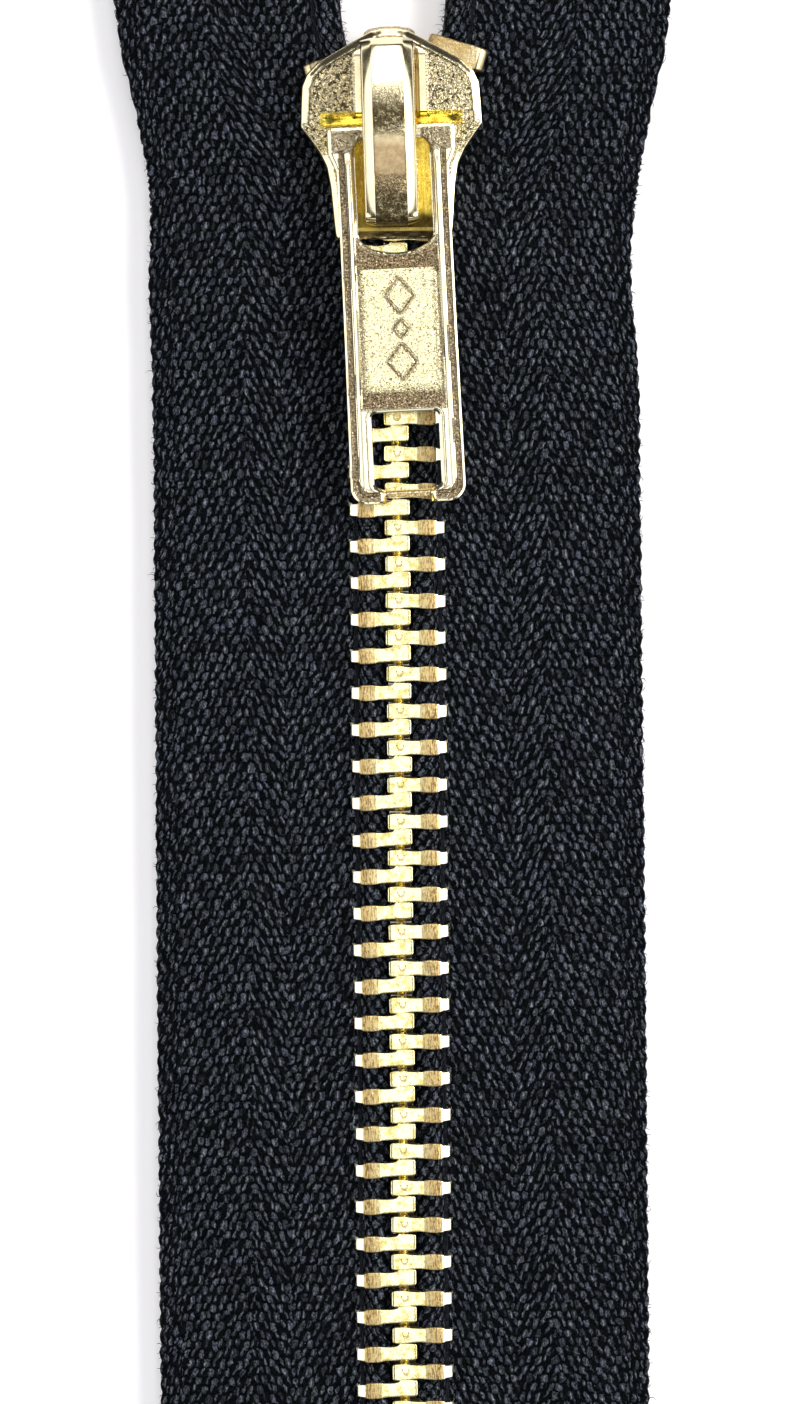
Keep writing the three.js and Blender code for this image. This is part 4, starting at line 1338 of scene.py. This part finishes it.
def bridge_cap():
    path = catmull(BRIDGE_PATH, 5)
    tangent = np.gradient(path, axis=0)
    tangent /= np.linalg.norm(tangent, axis=1)[:, None]
    outwards = np.c_[-tangent[:, 1], tangent[:, 0]]
    section = BRIDGE_SECTION + [(-x, depth) for x, depth in BRIDGE_SECTION[::-1][:-1]]
    rings, size = len(path), len(section)
    points = []
    for (y, z), (out_y, out_z) in zip(path, outwards):
        up = max(0.0, out_z)
        for x, depth in section:
            # the section thins where the cap turns down to its feet
            if depth <= -0.57:
                depth = -0.57 + (depth + 0.57) * up
            depth = max(depth, -0.6) * (0.30 + 0.70 * up**1.5) + min(depth + 0.6, 0)
            points.append((x, y + out_y * depth, z + out_z * depth))
    faces = tube_faces(rings, size) + facing(end_faces(rings, size), False)
    points = np.array(points)
    points[:, 0] += BRIDGE_X
    points = turned(points, 1.3, BRIDGE_X)
    y = points[:, 1]
    top = np.tile([1.0 if abs(x) < 1.05 and depth > -0.03 else 0.0 for x, depth in section], rings)
    stipple = 0.6 * ease(y, 98.6, 97.0) * ease(y, 94.6, 95.8) + 0.9 * ease(y, 92.6, 91.2)
    piece = Piece()
    piece.add(points, faces, np.c_[top, y * 0, top * stipple])
    obj = piece.build("bridge_cap_arch")
    edit(obj, face_outwards)
    finish_casting(obj, sharp=28)
    attach(obj, BRIDGE, "slider", "bridge_cap")


bridge_cap()

# ------------------------------------------------------------------ lock leaf
LEAF_Y = [89.98, 90.04, 90.3, 90.56, 90.7, 91.0, 91.5, 92.2, 93.0, 94.0, 95.2, 96.5, 98.0,
          99.2, 99.52, 99.6]
LEAF_THICKNESS, LEAF_EDGE = 0.16, 0.05


def lock_leaf():
    """A spring strip with bevelled edges, lower at the tail end that carries the prong."""
    y = np.array(LEAF_Y)
    left = np.interp(y, [89.98, 90.56, 91.0, 91.5, 99.2, 99.6],
                     [0.62, 0.55, -0.20, -0.95, -1.05, -0.95])
    right = np.interp(y, [89.98, 90.56, 91.5, 99.2, 99.6], [1.28, 1.30, 1.12, 0.95, 0.85])
    tops = 4.36 - 0.30 * ease(y, 92.6, 90.1)
    edge = LEAF_EDGE
    strip = []
    for x0, x1, y, top in zip(left, right, y, tops):
        low = top - LEAF_THICKNESS
        section = [(x0, low + edge), (x0, top - edge), (x0 + edge, top), (x1 - edge, top),
                   (x1, top - edge), (x1, low + edge), (x1 - edge, low), (x0 + edge, low)]
        strip += [(x, y, z) for x, z in section]
    rings = len(LEAF_Y)
    piece = Piece()
    piece.add(strip, tube_faces(rings, 8) + facing(end_faces(rings, 8), False))
    prong = []
    for z, taper in ((3.98, 0.0), (1.6, 0.0), (1.0, 0.06), (0.88, 0.12)):
        x0, x1, y0, y1 = 1.08 + taper, 1.28 - taper * 0.5, 90.04 + taper, 90.50 - taper
        prong += [(x0, y0, z), (x1, y0, z), (x1, y1, z), (x0, y1, z)]
    piece.add(prong, tube_faces(4, 4) + end_faces(4, 4))
    piece.move(lambda points: points + np.array([SLIDER_X, 0, 0]))
    obj = piece.build("lock_leaf_spring")
    edit(obj, face_outwards)
    attach(obj, LEAF, "lock_leaf", "lock_leaf")


lock_leaf()

# ------------------------------------------------------------------ pull tab
# Drawn flat with its crossbar on y = 0 and its free end at negative y.
PIVOT = np.array([SLIDER_X - 0.04, 95.2, 3.3])
TAB_HALF = 0.7  # half its thickness
TAB_TILT, TAB_DROOP = 2.3 * RAD, 1.8 * RAD
GROUND_DEPTH = 0.16  # of the sunk ground on the back
TAB_SIDE = [(3.76, -24.05), (3.68, -14.0), (3.65, -7.0)]  # right side (x, y)
TAB_OUTLINE = mirrored_loop(
    [(1.40, -23.66), (1.50, -24.05), *TAB_SIDE, (3.66, -2.35), (4.13, -1.2), (4.13, 0.46)],
    [0.05, 0.06, 1.15, 6, 6, 0.7, 0.5, 0.3], 0.2,
)
# The outline without its ears and end notch: the rim's grooves and ridges follow it.
TAB_GUIDE = mirrored_loop([*TAB_SIDE, (3.66, 3.0)], [1.15, 6, 6, 0.3], 0.3)
OPENING_ARC = [
    (2.45 * math.cos(turn), -6.5 + 1.27 * math.sin(turn))
    for turn in np.linspace(math.pi, 2 * math.pi, 25)
]
OPENING = dense(
    rounded([(2.45, -0.95), (2.1, -0.42), (-2.1, -0.42), (-2.45, -0.95)] + OPENING_ARC,
            [0.5, 0.35, 0.35, 0.5] + [0] * 25), 0.22,
)
WINDOW = dense(
    rounded([(-2.2, -22.9), (-1.75, -23.1), (-1.45, -23.2), (1.45, -23.2), (1.75, -23.1),
             (2.2, -22.9), (2.2, -18.15), (-2.2, -18.15)],
            [0.3, 0.2, 0.1, 0.1, 0.2, 0.3, 0.35, 0.35]), 0.22,
)
# Three diamonds down the plaque: centre y, half width, half height.
MOTIF = [
    rounded([(width, y), (0, y + height), (-width, y), (0, y - height)], 0.1)
    for y, width, height in ((-10.6, 0.95, 1.2), (-12.75, 0.5, 0.62), (-14.9, 0.95, 1.2))
]


def tab_zones(points):
    """Distances and masks shared by the tab's heights and marks."""
    x, y = np.abs(points[:, 0]), points[:, 1]
    rim = to_loop(points, TAB_GUIDE)
    width = np.interp(y, [-24.05, -14, -7, 0], [3.76, 3.68, 3.65, 3.66])
    rim = np.where(y > -3, np.maximum(width - x, 0), rim)
    window, opening = to_loop(points, WINDOW), to_loop(points, OPENING)
    groove_end = 0.48 + 0.22 * ease(-y, 22.4, 23.2)
    groove = ease(rim, 0.16, 0.23) * ease(rim, groove_end + 0.10, groove_end)
    groove = groove * ease(-y, 1.02, 1.2) * ease(x, 1.80, 1.88)
    middle = ease(-y, 6.6, 6.9) * ease(y, -18.0, -17.8) * ease(opening, 0.16, 0.24)
    field = ease(rim, 0.98, 1.03) * middle  # the sunk ground between the ridges
    plaque = ease(2.50 - x, 0.0, 0.06) * ease(-y, 8.72, 8.82) * ease(y, -16.85, -16.75) * middle
    return SimpleNamespace(
        x=x, y=y, rim=rim, window=window, opening=opening, groove=groove, field=field,
        plaque=plaque, outline=to_loop(points, TAB_OUTLINE),
        strokes=[0.125 - to_loop(points, diamond) for diamond in MOTIF],
    )


def tab_height(points):
    zone = tab_zones(points)
    x, y = zone.x, zone.y
    z = TAB_HALF - 0.09 * (1 - np.clip((zone.outline - 0.02) / 0.18, 0, 1))
    z -= 0.16 * zone.groove
    crown = np.exp(-(((zone.rim - 0.74) / 0.17) ** 2))
    z += 0.03 * crown * ease(-y, 1.4, 2.2)  # crown of the ridge
    upper_slope = 0.06 + 0.22 * np.clip((-y - 7.6) / 1.15, 0, 1)
    lower_slope = 0.06 + 0.10 * np.clip((17.75 + y) / 0.95, 0, 1)
    z -= zone.field * (1 - zone.plaque) * np.where(y > -9, upper_slope, lower_slope)
    z -= zone.plaque * 0.10
    z -= 0.17 * (1 - np.clip(zone.window / 0.20, 0, 1))
    z -= 0.12 * (1 - np.clip(zone.opening / 0.13, 0, 1))
    # step beside the opening
    step = ease(zone.rim, 0.95, 1.05) * ease(zone.opening, 0.0, 0.12)
    z -= 0.10 * step * ease(y, -6.9, -6.5) * ease(-y, 1.1, 1.4)
    z -= 0.25 * np.clip((1.80 - x) / 0.32, 0, 1) * ease(-y, 22.95, 23.15)
    for stroke in zone.strokes:
        z -= 0.05 * ease(stroke, 0.0, 0.04) * zone.plaque
    return z


def tab_marks(points):
    zone = tab_zones(points)
    x, y, plaque = zone.x, zone.y, zone.plaque
    ears = ease(y, -1.25, -1.0) * ease(zone.outline, 0.2, 0.28) * ease(x, 1.9, 2.1)
    margin = np.maximum(ease(2.48 - x, 0.34, 0.0), 0.7 * ease(y, -16.2, -16.8)) * plaque
    worn = ease(x, 2.1, 2.35) * ease(-y, 8.0, 9.2) * ease(y, -17.2, -16.2) * zone.field
    ground = zone.field * (1 - plaque)
    stipple = np.maximum.reduce([
        0.7 * zone.groove, ground * (1 - 0.35 * worn), 0.12 * plaque + 0.3 * margin, 0.8 * ears,
    ])
    umber = np.maximum.reduce([
        0.95 * zone.groove, ground * (1 - 0.55 * worn), 0.6 * ears,
        0.45 * ease(zone.rim, 0.95, 1.05) * ease(y, -6.9, -6.5), 0.35 * margin,
        0.8 * ease(x, 1.52, 1.46) * ease(-y, 23.30, 23.36),
    ])
    for stroke in zone.strokes:
        stroke = ease(stroke, 0.0, 0.05) * plaque
        stipple, umber = np.maximum(stipple, 0.7 * stroke), np.maximum(umber, stroke)
    # distances for the seams, far where there are none
    far = 5.0
    rim = np.where((y < -1.15) & (x > 1.86), zone.rim, far)
    window = np.where((y < -17.9) & ~((x < 1.9) & (y < -22.9)), zone.window, far)
    opening = np.where(y > -9, zone.opening * np.where(zone.opening > 0.22, 20.0, 1.0), far)
    loc = np.c_[rim, x * 0, stipple]
    return loc, np.c_[umber, np.minimum(window, opening), plaque * (1 - 0.5 * margin)]


def hang_tab(points):
    """Droops the free end, tilts the tab in its own plane and puts it on the crossbar."""
    x, y, z = points.T
    cos, sin = math.cos(TAB_DROOP), math.sin(TAB_DROOP)
    y, z = y * cos - z * sin, y * sin + z * cos
    cos, sin = math.cos(TAB_TILT), math.sin(TAB_TILT)
    return np.stack([x * cos - y * sin, x * sin + y * cos, z], -1) + PIVOT


def pull_tab():
    piece = Piece()
    front, back = inset(TAB_OUTLINE, 0.02), inset(TAB_OUTLINE, 0.2)
    terrace(piece, [
        (back, -TAB_HALF), (inset(TAB_OUTLINE, 0.08), -TAB_HALF + 0.05),
        (TAB_OUTLINE, -TAB_HALF + 0.2), (TAB_OUTLINE, TAB_HALF - 0.16), (front, TAB_HALF - 0.09),
    ])
    relief(piece, front, tab_height, tab_marks, 0.085, holes=[OPENING, WINDOW])
    # rolled inner edges through the plate
    for hole, drop in ((OPENING, 0.12), (WINDOW, 0.17)):
        terrace(piece, [
            (inset(hole, -0.12), -TAB_HALF), (inset(hole, -0.03), -TAB_HALF + 0.06),
            (hole, -TAB_HALF + 0.2), (hole, TAB_HALF - drop),
        ], up=False)
    # back: shallow matching ground
    ground = [(-2.6, -17.1), (2.6, -17.1), (2.6, -8.6), (-2.6, -8.6)]
    ground = dense(rounded(ground, 0.35), 0.3)
    floor_loop = inset(ground, 0.10)
    relief(
        piece, back, lambda points: np.full(len(points), -TAB_HALF), lambda points: (), 0.4,
        up=False, holes=[inset(OPENING, -0.12), inset(WINDOW, -0.12), ground],
    )
    terrace(piece, [
        (ground, -TAB_HALF), (inset(ground, 0.05), -TAB_HALF + 0.12),
        (floor_loop, -TAB_HALF + GROUND_DEPTH),
    ], up=False)
    flat(piece, floor_loop, -TAB_HALF + GROUND_DEPTH, up=False, loc=(0, 0, 0.8))
    piece.move(hang_tab)
    obj = piece.build("pull_tab_plate")
    finish_casting(obj, sharp=40)
    attach(obj, PULL, "pull_tab", "pull_tab")


pull_tab()

# ------------------------------------------------------------------ stage, light and camera
# From here on lengths are metres.
FLOOR_HALF, FLOOR_Z = 1.2, -0.00234
VIEW_HEIGHT = 0.09196  # how much of the tape's plane the camera sees


def floor():
    """Paper that glows a little, and is clear from behind."""
    mesh = bpy.data.meshes.new("floor")
    corners = [(-1, -1), (1, -1), (1, 1), (-1, 1)]
    points = [(x * FLOOR_HALF, y * FLOOR_HALF, FLOOR_Z) for x, y in corners]
    mesh.from_pydata(points, [], [(0, 1, 2, 3)])
    obj = link("floor", mesh)
    paper = Material("floor_paper")
    paper.set({
        "Base Color": (0.95, 0.925, 0.935), "Roughness": 0.9, "Specular IOR Level": 0.1,
        "Emission Color": (1.0, 0.975, 0.985), "Emission Strength": 0.27,
    })
    shaders = [Value(paper.tree, paper.shader.outputs[0]), add_node(paper.tree, "BsdfTransparent")]
    mixed = add_node(paper.tree, "MixShader", [paper.geometry("Backfacing"), *shaders])
    connect(paper.output, mixed)
    mesh.materials.append(paper.data)


def key_light():
    """A square panel high on the right."""
    lamp = bpy.data.lights.new("key_right", "AREA")
    lamp.shape = "RECTANGLE"
    lamp.size, lamp.size_y = 0.34, 0.34
    lamp.energy, lamp.color = 2.4, (1.0, 0.985, 0.96)
    obj = link("key_right", lamp)
    obj.location = (0.46, 0.26, 0.52)
    aim = Vector((0, 0.06, 0)) - Vector((0.46, 0.26, 0.52))
    obj.rotation_euler = aim.to_track_quat("-Z", "Y").to_euler()
    obj.visible_camera = False


def studio():
    """Soft panels round a soft box overhead, with dark seams between; plain to the camera."""
    world = bpy.data.worlds.new("studio")
    bpy.context.scene.world = world
    world.use_nodes = True
    tree = world.node_tree
    tree.nodes.clear()
    x, y, z = add_node(tree, "TexCoord", output="Generated").split()
    z = larger(z, 0.02)
    # degrees from straight up, across and along the chain
    across = calculate("ARCTAN2", x, z) * (180 / math.pi)
    along = calculate("ARCTAN2", y, z) * (180 / math.pi)

    def panel(x_range, y_range, power, soft):
        (x0, x1), (y0, y1) = x_range, y_range
        shape = band(across, (x0 - soft, x0 + soft), (x1 + soft, x1 - soft))
        shape = shape * band(along, (y0 - soft, y0 + soft), (y1 + soft, y1 - soft))
        return shape * power

    # span across, span along, power, softness: overhead, right, left, top end, tail end
    panels = [
        ((-13, 13), (-11.5, 5.8), 1.95, 1.6),
        ((33, 84), (-50, 50), 2.1, 3.0),
        ((-84, -35), (-50, 50), 1.6, 3.0),
        ((-16, 16), (14.5, 80), 2.3, 2),
        ((-16, 16), (-80, -34), 1.2, 3.0),
    ]
    total = 0.05
    for values in panels:
        total = total + panel(*values)
    tent = add_node(tree, "Background", {"Color": (0.97, 0.985, 1.0), "Strength": total})
    plain = add_node(tree, "Background", {"Color": (0.96, 0.96, 0.97)})
    to_camera = add_node(tree, "LightPath", output="Is Camera Ray")
    mixed = add_node(tree, "MixShader", [to_camera, tent, plain])
    connect(tree.nodes.new("ShaderNodeOutputWorld").inputs[0], mixed)


def camera():
    lens = bpy.data.cameras.new("camera")
    obj = link("camera", lens)
    lens.sensor_width = 36.0
    lens.lens = 180.0
    obj.location = (0.00007, 0.0582, VIEW_HEIGHT * lens.lens / lens.sensor_width)
    obj.rotation_euler = (0, 0, -0.505 * RAD)
    lens.clip_start, lens.clip_end = 0.01, 10
    bpy.context.scene.camera = obj


floor()
key_light()
studio()
camera()
bpy.context.scene.view_settings.view_transform = "Standard"
bpy.context.scene.view_settings.look = "None"
